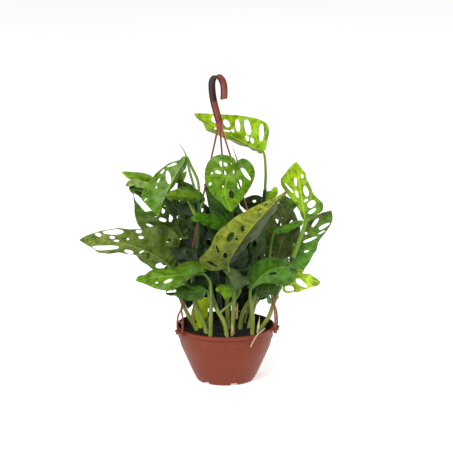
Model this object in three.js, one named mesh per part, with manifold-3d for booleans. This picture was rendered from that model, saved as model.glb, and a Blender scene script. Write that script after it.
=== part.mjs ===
// Potted Monstera acuminata in a moulded hanging pot, in millimetres, +Z up.
// The model is laid out from the centre of the pot's foot, and at the end it is
// moved so that its origin is the point inside the hook where it hangs.

import * as THREE from 'three';
import { mergeVertices } from 'three/addons/utils/BufferGeometryUtils.js';
import Module from 'manifold-3d';

const wasm = await Module();
wasm.setup();

// Pot
const RIM_RADIUS = 75;
const POT_HEIGHT = 85;
const LIP_HEIGHT = 6;
const COLLAR_HEIGHT = 12;
const WALL = 1.7;
const RIM_THICKNESS = 2.4;
const STEP_INSIDE_RIM = 4.4;
const FOOT_RADIUS = 43.5;
const FOOT_WIDTH = 5.5;
const FLOOR_BOTTOM = 3.5;
const FLOOR_TOP = 5.5;
const FLOOR_RADIUS = 44.7;
const POT_SIDES = 32;
const NOTCHES = 6;
const NOTCH_WIDTH = 12;
const FIRST_NOTCH_DEG = -72;
const DRAIN_RADIUS = 4;
const DRAIN_CIRCLE = 26;

// Ears on the rim that carry the hanger
const EAR_ANGLES_DEG = [208, 350, 82];
const EAR_RADIUS = 78.5;
const EAR_WIDTH = 24;
const EAR_DEPTH = 7;
const EAR_THICKNESS = 3;
const EAR_CORNER = 3;
const EAR_HOLE_RADIUS = 2;
const EAR_BELOW_RIM = 1;

// Soil
const SOIL_EDGE = 71;
const SOIL_CROWN = 76;
const CLEARANCE = 0.3;
const HOLE_GAP = 0.4;

// Hanger
const HOOK_TOP = 476.5;
const HOOK_THICKNESS = 4;
const HOOK_WIDTH = 11;
const HOOK_X = -11.5;
const HOOK_TURN_DEG = -50;
const NECK_TOP = 404;
const NECK_BOTTOM = 391;
const NECK_TOP_RADIUS = 6;
const NECK_BOTTOM_RADIUS = 4.6;
const FLANGE_WIDTH = 1.8;
const WEB_RECESS = 1;
const STRAND_RADIUS = 1.4;
const CLIP_APEX = 116;
const CLIP_HALF_WIDTH = 8.5;
const CLIP_BAR_HEIGHT = 99;
const CLIP_BAR_RADIUS = 1.1;
const CLIP_LEG_DROP = 3.2;
const KNOB_RADIUS = 2.8;
const KNOB_HEIGHT = 3.4;
const KNOB_BELOW_LEG = 0.6;

// Leaves and stalks
const BLADE_THICKNESS = 0.8;
const RIB_THICKNESS = 1.8;
const QUILT = 1.6;
const ARCH = 8;
const DROOP = 5;
const STALK_RADIUS = 2.0;
const STEM_RADIUS = 2.9;
const STEM_SIDES = 6;
const STALK_SIDES = 4;
const PEG_RADIUS = 3.6;
const PEG_DEPTH = 22;

// Label and air root
const LABEL_WIDTH = 24;
const LABEL_TIP_WIDTH = 9;
const LABEL_HEIGHT = 68;
const LABEL_STAKE_HEIGHT = 30;
const LABEL_THICKNESS = 0.8;
const LABEL_BURIED = 20;
const LABEL_X = -42;
const LABEL_Y = 13;
const LABEL_LEAN_DEG = -4;
const LABEL_TURN_DEG = 8;
const AIR_ROOT_RADIUS = 1.3;

// The front view that places the leaves looks down on the pot by this angle.
// Points in it are read across and down in steps of STEP_SIZE, from the foot's centre.
const VIEW_DOWN_DEG = 15;
const STEP_SIZE = 1.53;
const FOOT_ACROSS = 225.5;
const FOOT_DOWN = 377.6;

const radians = THREE.MathUtils.degToRad;
const VIEW_SIN = Math.sin(radians(VIEW_DOWN_DEG));
const VIEW_COS = Math.cos(radians(VIEW_DOWN_DEG));
const AWAY = new THREE.Vector3(0, VIEW_COS, -VIEW_SIN);
const DOWNWARD = new THREE.Vector3(0, 0, -1);

// A point of the front view, at a depth behind the pot's axis
function seen([across, down, depth]) {
  const up = (FOOT_DOWN - down) * STEP_SIZE;
  const height = (up - depth * VIEW_SIN) / VIEW_COS;
  return new THREE.Vector3((across - FOOT_ACROSS) * STEP_SIZE, depth, height);
}

// A point on a circle round the pot's axis
function around(radius, degrees, height) {
  const turn = radians(degrees);
  return new THREE.Vector3(radius * Math.cos(turn), radius * Math.sin(turn), height);
}

// Solids

function solid(geometry) {
  const bare = geometry.index ? geometry.toNonIndexed() : geometry.clone();
  bare.deleteAttribute('normal');
  bare.deleteAttribute('uv');
  const merged = mergeVertices(bare, 1e-4);
  return new wasm.Manifold(new wasm.Mesh({
    numProp: 3,
    vertProperties: new Float32Array(merged.attributes.position.array),
    triVerts: new Uint32Array(merged.index.array),
  }));
}

function joined(solids) {
  return solids.reduce((whole, piece) => whole.add(piece));
}

// The outer skin of the largest body: drops loose scraps and fills sealed hollows
function largestBody(shape) {
  const bodies = shape.decompose();
  return bodies.reduce((best, body) => (body.volume() > best.volume() ? body : best));
}

function named(name, shape, material) {
  const { vertProperties, triVerts } = shape.getMesh();
  const geometry = new THREE.BufferGeometry();
  geometry.setAttribute('position', new THREE.BufferAttribute(vertProperties, 3));
  geometry.setIndex(new THREE.BufferAttribute(triVerts, 1));
  geometry.computeVertexNormals();
  const mesh = new THREE.Mesh(geometry, material);
  mesh.name = name;
  return mesh;
}

function turnedProfile(profile) {
  const points = profile.map(([radius, height]) => new THREE.Vector2(radius, height));
  const geometry = new THREE.LatheGeometry(points, POT_SIDES);
  return geometry.rotateX(Math.PI / 2);
}

function upright(radius, bottom, top, centre, sides) {
  const geometry = new THREE.CylinderGeometry(radius, radius, top - bottom, sides);
  geometry.rotateX(Math.PI / 2);
  geometry.translate(centre.x, centre.y, (top + bottom) / 2);
  return solid(geometry);
}

function rod(points, radius, sides, steps) {
  const section = new THREE.Shape();
  section.absarc(0, 0, radius, 0, 2 * Math.PI);
  const corners = section.getSpacedPoints(sides).slice(0, sides);
  return sweep(new THREE.Shape(corners), points, steps);
}

function sweep(section, points, steps) {
  const extrudePath = new THREE.CatmullRomCurve3(points);
  const geometry = new THREE.ExtrudeGeometry(section, { steps, extrudePath, bevelEnabled: false });
  return solid(geometry);
}

// Pot and soil

const bodyCurve = new THREE.SplineCurve([
  new THREE.Vector2(FOOT_RADIUS, 0),
  new THREE.Vector2(48.5, 9.5),
  new THREE.Vector2(57, 28.5),
  new THREE.Vector2(66.2, 49),
  new THREE.Vector2(71.3, POT_HEIGHT - LIP_HEIGHT - COLLAR_HEIGHT),
]);

function bodyProfile(steps, inward) {
  return bodyCurve.getPoints(steps).map((point) => [point.x - inward, point.y]);
}

const innerTop = [
  [RIM_RADIUS - RIM_THICKNESS, POT_HEIGHT],
  [RIM_RADIUS - STEP_INSIDE_RIM, POT_HEIGHT - LIP_HEIGHT - 1],
];
const innerBody = bodyProfile(3, WALL).slice(1).reverse();

function potShape() {
  const collarTop = POT_HEIGHT - LIP_HEIGHT;
  const collarBottom = collarTop - COLLAR_HEIGHT;
  let pot = solid(turnedProfile([
    [0, FLOOR_BOTTOM],
    [FOOT_RADIUS - FOOT_WIDTH - 1, FLOOR_BOTTOM],
    [FOOT_RADIUS - FOOT_WIDTH, 0],
    ...bodyProfile(4, 0),
    [72.3, collarBottom + 0.8],
    [72.8, collarTop - 0.4],
    [RIM_RADIUS, collarTop + 0.2],
    [RIM_RADIUS, POT_HEIGHT - 0.6],
    ...innerTop,
    ...innerBody,
    [FLOOR_RADIUS, FLOOR_TOP],
    [0, FLOOR_TOP],
  ]));
  for (const angle of EAR_ANGLES_DEG) {
    pot = pot.add(earShape(angle));
  }
  for (const angle of EAR_ANGLES_DEG) {
    for (const side of [-1, 1]) {
      const hole = earPoint(angle, side * CLIP_HALF_WIDTH, 0);
      pot = pot.subtract(upright(EAR_HOLE_RADIUS, POT_HEIGHT - 12, POT_HEIGHT + 4, hole, 6));
    }
  }
  for (let i = 0; i < NOTCHES; i += 1) {
    const angle = FIRST_NOTCH_DEG - i * 360 / NOTCHES;
    const notch = new THREE.BoxGeometry(FOOT_WIDTH * 3, NOTCH_WIDTH, FLOOR_BOTTOM * 2 - 0.2);
    notch.translate(FOOT_RADIUS - FOOT_WIDTH / 2, 0, 0);
    notch.rotateZ(radians(angle));
    pot = pot.subtract(solid(notch));
    const drain = around(DRAIN_CIRCLE, angle, 0);
    pot = pot.subtract(upright(DRAIN_RADIUS, 1, FLOOR_TOP + 1, drain, 6));
  }
  return pot;
}

// A point on an ear: along the rim, and outward from the ear's hole line
function earPoint(angle, along, outward, height = POT_HEIGHT) {
  const out = around(EAR_RADIUS + outward, angle, height);
  const beside = around(along, angle + 90, 0);
  return out.add(beside);
}

function earShape(angle) {
  const inner = RIM_RADIUS - 2 - EAR_RADIUS;
  const outer = EAR_DEPTH / 2;
  const half = EAR_WIDTH / 2;
  const outline = new THREE.Shape();
  outline.moveTo(inner, -half);
  outline.lineTo(outer - EAR_CORNER, -half);
  outline.lineTo(outer, -half + EAR_CORNER);
  outline.lineTo(outer, half - EAR_CORNER);
  outline.lineTo(outer - EAR_CORNER, half);
  outline.lineTo(inner, half);
  outline.closePath();
  const geometry = new THREE.ExtrudeGeometry(outline, { depth: EAR_THICKNESS, bevelEnabled: false });
  geometry.translate(EAR_RADIUS, 0, POT_HEIGHT - EAR_THICKNESS - EAR_BELOW_RIM);
  geometry.rotateZ(radians(angle));
  return solid(geometry);
}

function soilShape(holes) {
  const wall = innerBody.map(([radius, height]) => [radius - CLEARANCE, height]).reverse();
  const edge = wall[wall.length - 1][0];
  const geometry = turnedProfile([
    [0, FLOOR_TOP + CLEARANCE],
    [FLOOR_RADIUS - CLEARANCE, FLOOR_TOP + CLEARANCE],
    ...wall,
    [edge, SOIL_EDGE],
    [edge - 16, SOIL_EDGE + 2.5],
    [edge - 42, SOIL_CROWN - 1],
    [0, SOIL_CROWN],
  ]);
  const places = geometry.attributes.position;
  for (let i = 0; i < places.count; i += 1) {
    const reach = Math.hypot(places.getX(i), places.getY(i));
    if (places.getZ(i) > SOIL_EDGE + 1 && reach > 1) {
      const lump = Math.sin(places.getX(i) * 0.31) + Math.cos(places.getY(i) * 0.27 + 1);
      places.setZ(i, places.getZ(i) + lump);
    }
  }
  return holes.reduce((soil, hole) => soil.subtract(hole), solid(geometry));
}

// Hanger

function hookPoint(across, height) {
  const turn = radians(HOOK_TURN_DEG);
  return new THREE.Vector3(HOOK_X + across * Math.cos(turn), across * Math.sin(turn), height);
}

// The strap is swept in the X-Z plane, where its section stays square to the plane, and
// then turned about the upright line through the hanging point

function hookShape() {
  const crown = HOOK_TOP - HOOK_THICKNESS / 2;
  const route = [
    [14, crown - 33],
    [14.8, crown - 22],
    [13.4, crown - 10.5],
    [8, crown - 2.6],
    [0, crown],
    [-8, crown - 2.6],
    [-13.4, crown - 10.5],
    [-14, crown - 22],
    [-10.5, crown - 39],
    [-3, crown - 57],
    [4, NECK_TOP - 2],
  ];
  const half = HOOK_WIDTH / 2;
  const deep = HOOK_THICKNESS / 2;
  const flange = half - FLANGE_WIDTH;
  const web = deep - WEB_RECESS;
  const corners = [
    [-half, -deep], [-flange, -deep], [-flange, -web], [flange, -web], [flange, -deep], [half, -deep],
    [half, deep], [flange, deep], [flange, web], [-flange, web], [-flange, deep], [-half, deep],
  ];
  const section = new THREE.Shape(corners.map(([x, y]) => new THREE.Vector2(x, y)));
  const points = route.map(([across, height]) => new THREE.Vector3(across, 0, height));
  const extrudePath = new THREE.CatmullRomCurve3(points);
  const geometry = new THREE.ExtrudeGeometry(section, { steps: 17, extrudePath, bevelEnabled: false });
  geometry.rotateZ(radians(HOOK_TURN_DEG));
  geometry.translate(HOOK_X, 0, 0);
  return solid(geometry);
}

function clipShape(angle) {
  const at = (along, height, outward = 0) => earPoint(angle, along, outward, height);
  const foot = POT_HEIGHT - EAR_THICKNESS - EAR_BELOW_RIM - CLIP_LEG_DROP;
  const half = CLIP_HALF_WIDTH;
  const leg = (side) => [
    at(side * half, foot),
    at(side * half, POT_HEIGHT),
    at(side * half * 1.05, CLIP_BAR_HEIGHT - 3),
    at(side * half * 0.8, CLIP_APEX - 8, -1),
  ];
  const loop = rod([...leg(-1), at(0, CLIP_APEX, -2), ...leg(1).reverse()], STRAND_RADIUS, 5, 12);
  const bar = rod([at(-half, CLIP_BAR_HEIGHT), at(half, CLIP_BAR_HEIGHT)], CLIP_BAR_RADIUS, 5, 1);
  const knobs = [-half, half].map((along) => {
    const bottom = foot - KNOB_BELOW_LEG;
    return upright(KNOB_RADIUS, bottom, bottom + KNOB_HEIGHT, at(along, foot), 6);
  });
  return joined([loop, bar, ...knobs]);
}

function hangerShape() {
  const neckFoot = hookPoint(4, NECK_BOTTOM);
  const height = NECK_TOP - NECK_BOTTOM;
  const neck = new THREE.CylinderGeometry(NECK_TOP_RADIUS, NECK_BOTTOM_RADIUS, height, 8);
  neck.rotateX(Math.PI / 2);
  neck.translate(neckFoot.x, neckFoot.y, (NECK_TOP + NECK_BOTTOM) / 2);
  const pieces = [hookShape(), solid(neck)];
  for (const angle of EAR_ANGLES_DEG) {
    const top = neckFoot.clone().add(around(2.6, angle, 5));
    const end = earPoint(angle, 0, -2, CLIP_APEX - 0.5);
    const upper = top.clone().lerp(end, 0.3).add(around(1.5, angle, 0));
    const lower = top.clone().lerp(end, 0.7).add(around(2, angle, 0));
    pieces.push(rod([top, upper, lower, end], STRAND_RADIUS, 5, 6));
    pieces.push(clipShape(angle));
  }
  return joined(pieces);
}

// Leaf blades

// One half of the flat blade: rows are its side veins, from the sinus to the tip, each
// from its start on the midrib to its end on the margin. They start closer together
// near the base. Across is in half widths and along is in blade lengths.
const VEIN_CROWDING = 1.9;
const SINUS_PART = 0.15;
const marginCurve = new THREE.SplineCurve([
  new THREE.Vector2(0.4, -0.14),
  new THREE.Vector2(0.9, -0.05),
  new THREE.Vector2(1, 0.19),
  new THREE.Vector2(0.86, 0.43),
  new THREE.Vector2(0.58, 0.64),
  new THREE.Vector2(0.25, 0.83),
  new THREE.Vector2(0, 1),
]);

// Holes between two veins, by size: from and to along the vein, and half the span
const HOLE_SIZES = {
  1: [0.36, 0.62, 0.17],
  2: [0.26, 0.76, 0.24],
  3: [0.2, 0.88, 0.32],
};

function flatPoint(leaf, row, outward) {
  const start = veinStart(leaf, row);
  const edge = marginCurve.getPoint(row / leaf.holes[0].length);
  return new THREE.Vector2(edge.x * outward, start + (edge.y - start) * outward);
}

// The midrib runs from the base to the tip, and bows away from the straight line
function ribOf(leaf) {
  const base = seen(leaf.base);
  const tip = seen(leaf.tip);
  const [right, down, back] = leaf.bow ?? [0, 0, 0];
  const level = seen([FOOT_ACROSS, FOOT_DOWN, 0]);
  const bend = seen([FOOT_ACROSS + right, FOOT_DOWN + down, back]).sub(level);
  const middle = base.clone().add(tip).multiplyScalar(0.5).addScaledVector(bend, 2);
  return new THREE.QuadraticBezierCurve3(base, middle, tip);
}

// Where the side vein of a row starts on the midrib, as a part of its length
function veinStart(leaf, row) {
  return (row / leaf.holes[0].length) ** VEIN_CROWDING;
}

function headingAt(rib, along) {
  return rib.getPoint(along + 0.01).sub(rib.getPoint(along - 0.01)).normalize();
}

// A point of the margin where `rim` gives it as the front view shows it, from the sinus
// to the tip. At its widest it stands `back` behind the midrib.
function rimPoint(leaf, rib, side, row) {
  const half = side > 0 ? 1 : 0;
  const part = row / leaf.holes[0].length;
  const outline = [...leaf.rim[half], leaf.tip].map(([across, down]) => new THREE.Vector2(across, down));
  const edge = new THREE.SplineCurve(outline).getPoint(part);
  const behind = leaf.back[half] * Math.sin(Math.PI * (SINUS_PART + (1 - SINUS_PART) * part));
  return seen([edge.x, edge.y, rib.getPoint(veinStart(leaf, row)).y + behind]);
}

// A point of a blade whose margin is given: it arches from the midrib to the margin
function rimmedPoint(leaf, rib, side, row, outward, lift) {
  const start = veinStart(leaf, row);
  const point = rib.getPoint(start);
  const edge = rimPoint(leaf, rib, side, row);
  const faceUp = edge.clone().sub(point).cross(headingAt(rib, start)).multiplyScalar(side).normalize();
  point.lerp(edge, outward);
  return point.addScaledVector(faceUp, lift + ARCH * outward * (1 - outward));
}

// A point of a blade of the usual outline. Each half leans from the midrib by its own
// angle: 0 faces the front, 90 turns its margin to the back and -90 brings it forward.
function bladePoint(leaf, rib, side, flat, lift) {
  const along = flat.y;
  const point = rib.getPoint(along);
  const heading = headingAt(rib, along);
  const view = leaf.fromAbove ? DOWNWARD : AWAY;
  const back = view.clone().addScaledVector(heading, -view.dot(heading)).normalize();
  const right = back.clone().cross(heading);
  const lean = radians(leaf.lean[side > 0 ? 1 : 0]);
  const outward = right.multiplyScalar(side * Math.cos(lean)).addScaledVector(back, Math.sin(lean));
  const faceUp = outward.clone().cross(heading).multiplyScalar(side);
  point.addScaledVector(outward, leaf.half * flat.x);
  return point.addScaledVector(faceUp, lift - DROOP * flat.x * flat.x);
}

function bladeShape(leaf) {
  const rib = ribOf(leaf);
  const corners = [];
  const thickness = [];
  const known = new Map();
  const triangles = [];
  const corner = (side, row, outward) => {
    const flat = flatPoint(leaf, row, outward);
    const key = `${(flat.x * side).toFixed(4)},${flat.y.toFixed(4)}`;
    if (!known.has(key)) {
      const between = Math.sin(Math.PI * row) ** 2;
      const lift = QUILT * between * Math.min(1, 1.6 * outward);
      known.set(key, corners.length);
      corners.push(leaf.rim
        ? rimmedPoint(leaf, rib, side, row, outward, lift)
        : bladePoint(leaf, rib, side, flat, lift));
      thickness.push(outward === 0 ? RIB_THICKNESS - flat.y : BLADE_THICKNESS);
    }
    return known.get(key);
  };
  for (const side of [-1, 1]) {
    const sizes = leaf.holes[side > 0 ? 1 : 0];
    for (let row = 0; row < sizes.length; row += 1) {
      const next = row + 1;
      const vein = [[row, 0], [row, 0.5], [row, 1]];
      const nextVein = [[next, 1], [next, 0.5], [next, 0]];
      const places = [...vein, [row + 0.5, 1], ...nextVein];
      const ring = places.map(([r, outward]) => corner(side, r, outward));
      const kept = ring.map((index, i) => i).filter((i) => ring.indexOf(ring[i]) === i);
      const outline = kept.map((i) => flatPoint(leaf, ...places[i]));
      const indices = kept.map((i) => ring[i]);
      const hole = holePlaces(row, sizes[row]);
      indices.push(...hole.map(([r, outward]) => corner(side, r, outward)));
      const opening = hole.map(([r, outward]) => flatPoint(leaf, r, outward));
      const holes = hole.length ? [opening] : [];
      for (const face of THREE.ShapeUtils.triangulateShape(outline, holes)) {
        const [a, b, c] = face.map((i) => indices[i]);
        triangles.push(side > 0 ? [a, b, c] : [a, c, b]);
      }
    }
  }
  return thickened(corners, triangles, thickness);
}

function holePlaces(row, size) {
  if (size === '0') {
    return [];
  }
  const [from, to, half] = HOLE_SIZES[size];
  const shoulder = (to - from) * 0.3;
  const centre = (to + from) / 2;
  const middle = row + 0.5;
  if (size === '1') {
    return [[middle, from], [middle - half, centre], [middle, to], [middle + half, centre]];
  }
  return [
    [middle, from],
    [middle - half, from + shoulder],
    [middle - half, to - shoulder],
    [middle, to],
    [middle + half, to - shoulder],
    [middle + half, from + shoulder],
  ];
}

// Closes a thin surface into a solid: the same triangles on both faces, and a wall
// along every free edge
function thickened(corners, triangles, thickness) {
  const surface = new THREE.BufferGeometry().setFromPoints(corners);
  surface.setIndex(triangles.flat());
  surface.computeVertexNormals();
  const normals = surface.attributes.normal;
  const count = corners.length;
  const points = [];
  for (const face of [1, -1]) {
    for (let i = 0; i < count; i += 1) {
      const normal = new THREE.Vector3().fromBufferAttribute(normals, i);
      points.push(corners[i].clone().addScaledVector(normal, face * thickness[i] / 2));
    }
  }
  const edges = new Set(triangles.flatMap(([a, b, c]) => [`${a},${b}`, `${b},${c}`, `${c},${a}`]));
  const faces = [];
  for (const [a, b, c] of triangles) {
    faces.push([a, b, c], [c + count, b + count, a + count]);
    for (const [from, to] of [[a, b], [b, c], [c, a]]) {
      if (!edges.has(`${to},${from}`)) {
        faces.push([from, from + count, to + count], [from, to + count, to]);
      }
    }
  }
  const geometry = new THREE.BufferGeometry().setFromPoints(points);
  geometry.setIndex(faces.flat());
  return solid(geometry);
}

// Shoots: a stem from the soil, and leaves on their stalks. The front view gives each
// point as across, down and depth. A leaf whose outline shows has its margin points in
// `rim`, and the others have a half width and the lean of each half. `holes` gives a
// size for each gap between veins, from the sinus to the tip, on the left half and the
// right half. A stalk leaves the stem `from` its foot and passes the points of `via`.

const SHOOTS = [
  {
    name: 'shoot_left_low',
    soil: [-44, 3],
    stem: [[190, 318, 2], [183, 304, 2], [178, 290, 4]],
    leaves: [
      {
        base: [168, 264, 4], tip: [80, 240, -10], bow: [4, -7.5, -6], back: [6, 12],
        rim: [
          [[166, 264], [160, 259.5], [150, 258.5], [135, 255], [117, 251.5], [104, 253.5], [93, 247.5]],
          [[172, 257], [180, 241], [165, 225], [140, 229], [116, 229], [96, 232.5]],
        ],
        holes: ['0112330', '0111330'], from: 1, via: [[173, 277, 6]],
      },
      {
        base: [177, 258, 16], tip: [137, 255.5, 12], back: [6, 4],
        rim: [
          [[176, 262], [171, 269], [162, 271], [154, 269.5], [145, 263]],
          [[178, 252], [172, 247], [161, 246], [150, 249]],
        ],
        holes: ['0320', '0000'], from: 0.9, via: [[182, 276, 14]],
      },
    ],
  },
  {
    name: 'shoot_left_front',
    soil: [-23, -30],
    stem: [[211, 316, -34], [211, 297, -44]],
    leaves: [
      {
        base: [203, 273, -69], tip: [137, 280, -97], bow: [0, -1, 0], back: [-14, 26],
        rim: [
          [[200, 275], [188, 277], [183, 284], [170, 289.8], [157, 288], [147, 283.8]],
          [[206.5, 271], [202, 264], [192, 261.5], [173, 268.5], [158, 269.5], [145, 274]],
        ],
        holes: ['002110', '000000'], from: 1, via: [[210, 281, -56]],
      },
      {
        base: [207, 290, -50], tip: [166, 292.5, -66], back: [0, 4],
        rim: [
          [[205, 294], [198, 299.5], [184, 299], [176, 295.5]],
          [[204, 287], [192, 284], [180, 286], [170, 288.5]],
        ],
        holes: ['0010', '0000'], from: 0.8, via: [],
      },
    ],
  },
  {
    name: 'shoot_left_high',
    soil: [-29, -15],
    stem: [
      [201, 316, -14], [195, 300, -14], [194, 275, -20],
      [197, 250, -32], [199, 225, -34], [200, 200, -32],
    ],
    leaves: [
      {
        base: [187, 158, -22], tip: [158, 215.5, -50], bow: [-1.5, -1, 0], back: [26, 12],
        rim: [
          [[187.5, 161], [186, 166], [182, 175], [176, 183.5], [167, 193], [159.5, 203]],
          [[185, 157], [178.5, 162.6], [164, 167.5], [152, 181], [142, 195.5], [148, 205.5]],
        ],
        holes: ['010000', '132110'], from: 1, via: [[198, 181, -30], [192, 168, -26]],
      },
      {
        base: [204, 198.5, -36], tip: [165, 196, -56], back: [-4, 12],
        rim: [
          [[203, 201], [196, 201], [188, 200.3], [178, 199.8], [171, 198.8]],
          [[203, 196], [197, 191.5], [189, 188], [180, 188.8], [172, 193]],
        ],
        holes: ['000', '000'], from: 0.93, via: [],
      },
      {
        base: [190, 199, -12], tip: [179, 179.5, -8], half: 17, lean: [20, 10],
        holes: ['000', '000'], from: 0.85, via: [],
      },
      {
        base: [179, 183, -5], tip: [187, 171.5, -2], half: 7, lean: [10, 20],
        holes: ['00', '00'], from: 0.85, via: [[186, 196, -7]],
      },
    ],
    spears: [{ from: 0.97, points: [[190, 172, -18], [186, 155, -14], [177, 140, -12]] }],
  },
  {
    name: 'shoot_left_back',
    soil: [-24, 24],
    stem: [[196, 296, 30], [190, 262, 36], [185, 244, 38]],
    leaves: [
      {
        base: [182, 237, 38], tip: [130, 190, 54], bow: [6.5, -11.5, 4], back: [10, 8],
        rim: [
          [[176, 243], [161, 239], [143, 230], [135.5, 217], [134.5, 204], [133.5, 195.5]],
          [[190, 234], [192, 221], [183, 205], [168, 194], [154, 188], [140, 186]],
        ],
        holes: ['011230', '021000'], from: 1, via: [],
      },
      {
        base: [153, 182, 60], tip: [121.5, 172, 62], bow: [0, -1, 0], back: [6, 2],
        rim: [
          [[153, 185], [149, 187], [140, 181.8], [133, 180], [127, 177]],
          [[153, 178], [150.8, 175.3], [143, 173], [134, 172.2], [128, 171.9]],
        ],
        holes: ['000', '000'], from: 0.9, via: [[184, 214, 60], [168, 190, 62]],
      },
      {
        base: [151, 189, 50], tip: [125.5, 185.5, 54], bow: [0, -3.4, 0], back: [4, 4],
        rim: [
          [[150, 191], [144, 188.6], [137, 185.6], [132, 183.4]],
          [[151, 187], [146, 182], [137, 179.3], [129.5, 181]],
        ],
        holes: ['000', '000'], from: 0.9, via: [[180, 214, 50], [166, 196, 50]],
      },
      {
        base: [201, 264, 29], tip: [170, 240, 27], half: 33, lean: [10, 14],
        holes: ['0000', '0000'], from: 0.55, via: [],
      },
      {
        base: [147, 197, 72], tip: [129, 184, 74], back: [2, 4],
        rim: [
          [[145, 198], [140, 196.5], [135, 193.5], [130, 190]],
          [[147, 194], [144, 189], [138, 185], [133, 183]],
        ],
        holes: ['000', '000'], from: 0.8, via: [[178, 222, 72], [162, 206, 72]],
      },
    ],
  },
  {
    name: 'shoot_top',
    young: true,
    soil: [40, 34],
    stem: [[251, 300, 48], [256, 262, 58], [261, 225, 60], [265, 190, 56]],
    leaves: [
      {
        base: [263, 152, 56], tip: [194.5, 113.5, 66], bow: [0, 2.2, 0], back: [24, 10],
        rim: [
          [[261.5, 153], [255, 149], [244, 144.5], [228, 138], [213, 133], [203, 123.5]],
          [[265, 151], [267.5, 140], [268.4, 127], [259, 119.7], [240, 116], [217, 114.5]],
        ],
        holes: ['000000', '033331'], from: 1, via: [[265.5, 170, 54]],
      },
      {
        base: [263, 199, 66], tip: [277.5, 187.5, 74], back: [6, 2],
        rim: [
          [[262.5, 197], [265.5, 193.6], [270.5, 192.3], [274.5, 190]],
          [[264, 200.5], [269, 200], [274, 198], [277.8, 193.5]],
        ],
        holes: ['000', '000'], from: 0.84, via: [],
      },
      {
        base: [268, 213, 66], tip: [239, 202, 78], back: [8, 10],
        rim: [
          [[266, 217], [257, 216], [249, 212], [243, 207]],
          [[269, 209], [266, 200.5], [257, 195.2], [246, 197.5]],
        ],
        holes: ['0010', '0010'], from: 0.7, via: [],
      },
      {
        base: [259, 247, 84], tip: [244, 214, 92], half: 26, lean: [12, 20],
        holes: ['0000', '0000'], from: 0.55, via: [],
      },
    ],
  },
  {
    name: 'shoot_heart',
    soil: [4, 6],
    stem: [[227, 300, 0], [229, 262, -12], [231, 225, -22], [233, 190, -28]],
    leaves: [
      {
        base: [236, 166.5, -30], tip: [232, 212, -84], bow: [-9, -0.5, -6], back: [10, 12],
        rim: [
          [[237, 164.5], [240, 161.3], [249.5, 162], [254.5, 175], [249.5, 188.5], [240, 202]],
          [[235.5, 163.5], [228.5, 156], [211, 159.8], [204.8, 177], [212.5, 195], [224, 205]],
        ],
        holes: ['112210', '111110'], from: 1, via: [],
      },
      {
        base: [227, 223, -34], tip: [191.5, 218, -58], back: [-2, 3],
        rim: [
          [[225, 228.5], [217, 229.8], [208, 226], [200, 222.6]],
          [[225, 219], [217, 216], [206, 213.8], [197, 213.8]],
        ],
        holes: ['0000', '0000'], from: 0.7, via: [],
      },
      {
        base: [222, 232, 14], tip: [233, 186, 18], half: 27, lean: [-4, 4],
        holes: ['0000', '0000'], from: 0.62, via: [],
      },
    ],
    spears: [{ from: 0.96, points: [[238, 168, -17], [231, 143, -15]] }],
  },
  {
    name: 'shoot_olive',
    soil: [11, -22],
    stem: [[233, 316, -30], [234, 298, -44], [232, 280, -58]],
    leaves: [
      {
        base: [228, 262, -74], tip: [287, 190, -98], bow: [-6, 1, -4], back: [-10, 34],
        rim: [
          [[225, 267], [212, 270], [199.5, 260.5], [208.5, 248.5], [217, 233.5], [234, 217.5], [258, 205]],
          [[229, 265], [233, 261], [243, 249], [256, 236], [267, 221], [276, 205]],
        ],
        holes: ['0132210', '000000'], from: 1, via: [[229, 271, -66]],
      },
      {
        base: [248, 281.5, -58], tip: [222.5, 267, -70], back: [1, 4],
        rim: [
          [[244.5, 283.5], [236.5, 288.5], [231, 280], [227, 274]],
          [[247.5, 278.5], [242, 275], [236, 271], [229.5, 266.8]],
        ],
        holes: ['000', '000'], from: 0.95, via: [[241, 284, -56]],
      },
    ],
  },
  {
    name: 'shoot_low_centre',
    soil: [2, -31],
    stem: [[224, 322, -30], [216, 307, -26], [211, 290, -14], [206, 270, -2]],
    leaves: [
      {
        base: [240, 288.5, -26], tip: [215.5, 289, -44], back: [-4, 4],
        rim: [
          [[238, 292], [231, 294], [225.5, 300], [221, 293]],
          [[239, 286], [232, 286.6], [224, 285.4], [218.5, 286]],
        ],
        holes: ['0000', '0000'], from: 0.4, via: [[236, 298, -22]],
      },
      {
        base: [204, 252, -8], tip: [210, 206, -8], half: 28, lean: [16, 10],
        holes: ['0000', '0000'], from: 1, via: [],
      },
    ],
  },
  {
    name: 'shoot_right_high',
    roots: [airRootShape()],
    soil: [54, 6],
    stem: [[269, 316, 6], [277, 293, 4], [287, 270, 0], [293, 257, -4]],
    leaves: [
      {
        base: [305, 222, -8], tip: [295.5, 162.5, -22], bow: [0, 0, -4], back: [10, 8], stalk: 3,
        rim: [
          [[303, 215], [299, 204], [290, 193], [280, 182], [285.5, 173], [291, 166]],
          [[310, 219], [317, 214], [322.5, 204.5], [312, 193.5], [306.5, 179.5], [301, 169.5]],
        ],
        holes: ['011320', '033310'], from: 1, via: [[300, 237, -6]],
      },
      {
        base: [290, 264, 6], tip: [331, 210.5, 12], bow: [-4.5, -1, 0], back: [6, 12],
        rim: [
          [[290, 258], [294, 250], [299, 240], [303.5, 229], [309, 219.5], [320.5, 213.3]],
          [[291, 269], [294, 280], [304.5, 267.5], [313.5, 254], [318, 242], [330.5, 223.5]],
        ],
        holes: ['000120', '011330'], from: 0.85, via: [],
      },
    ],
  },
  {
    name: 'shoot_right_low',
    young: true,
    soil: [22, 6],
    stem: [[243, 312, 2], [252, 298, -12], [266, 290, -28]],
    leaves: [
      {
        base: [284, 280, -38], tip: [319.5, 282.5, -60], bow: [0, -3.6, 0], back: [4, 4],
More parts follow.
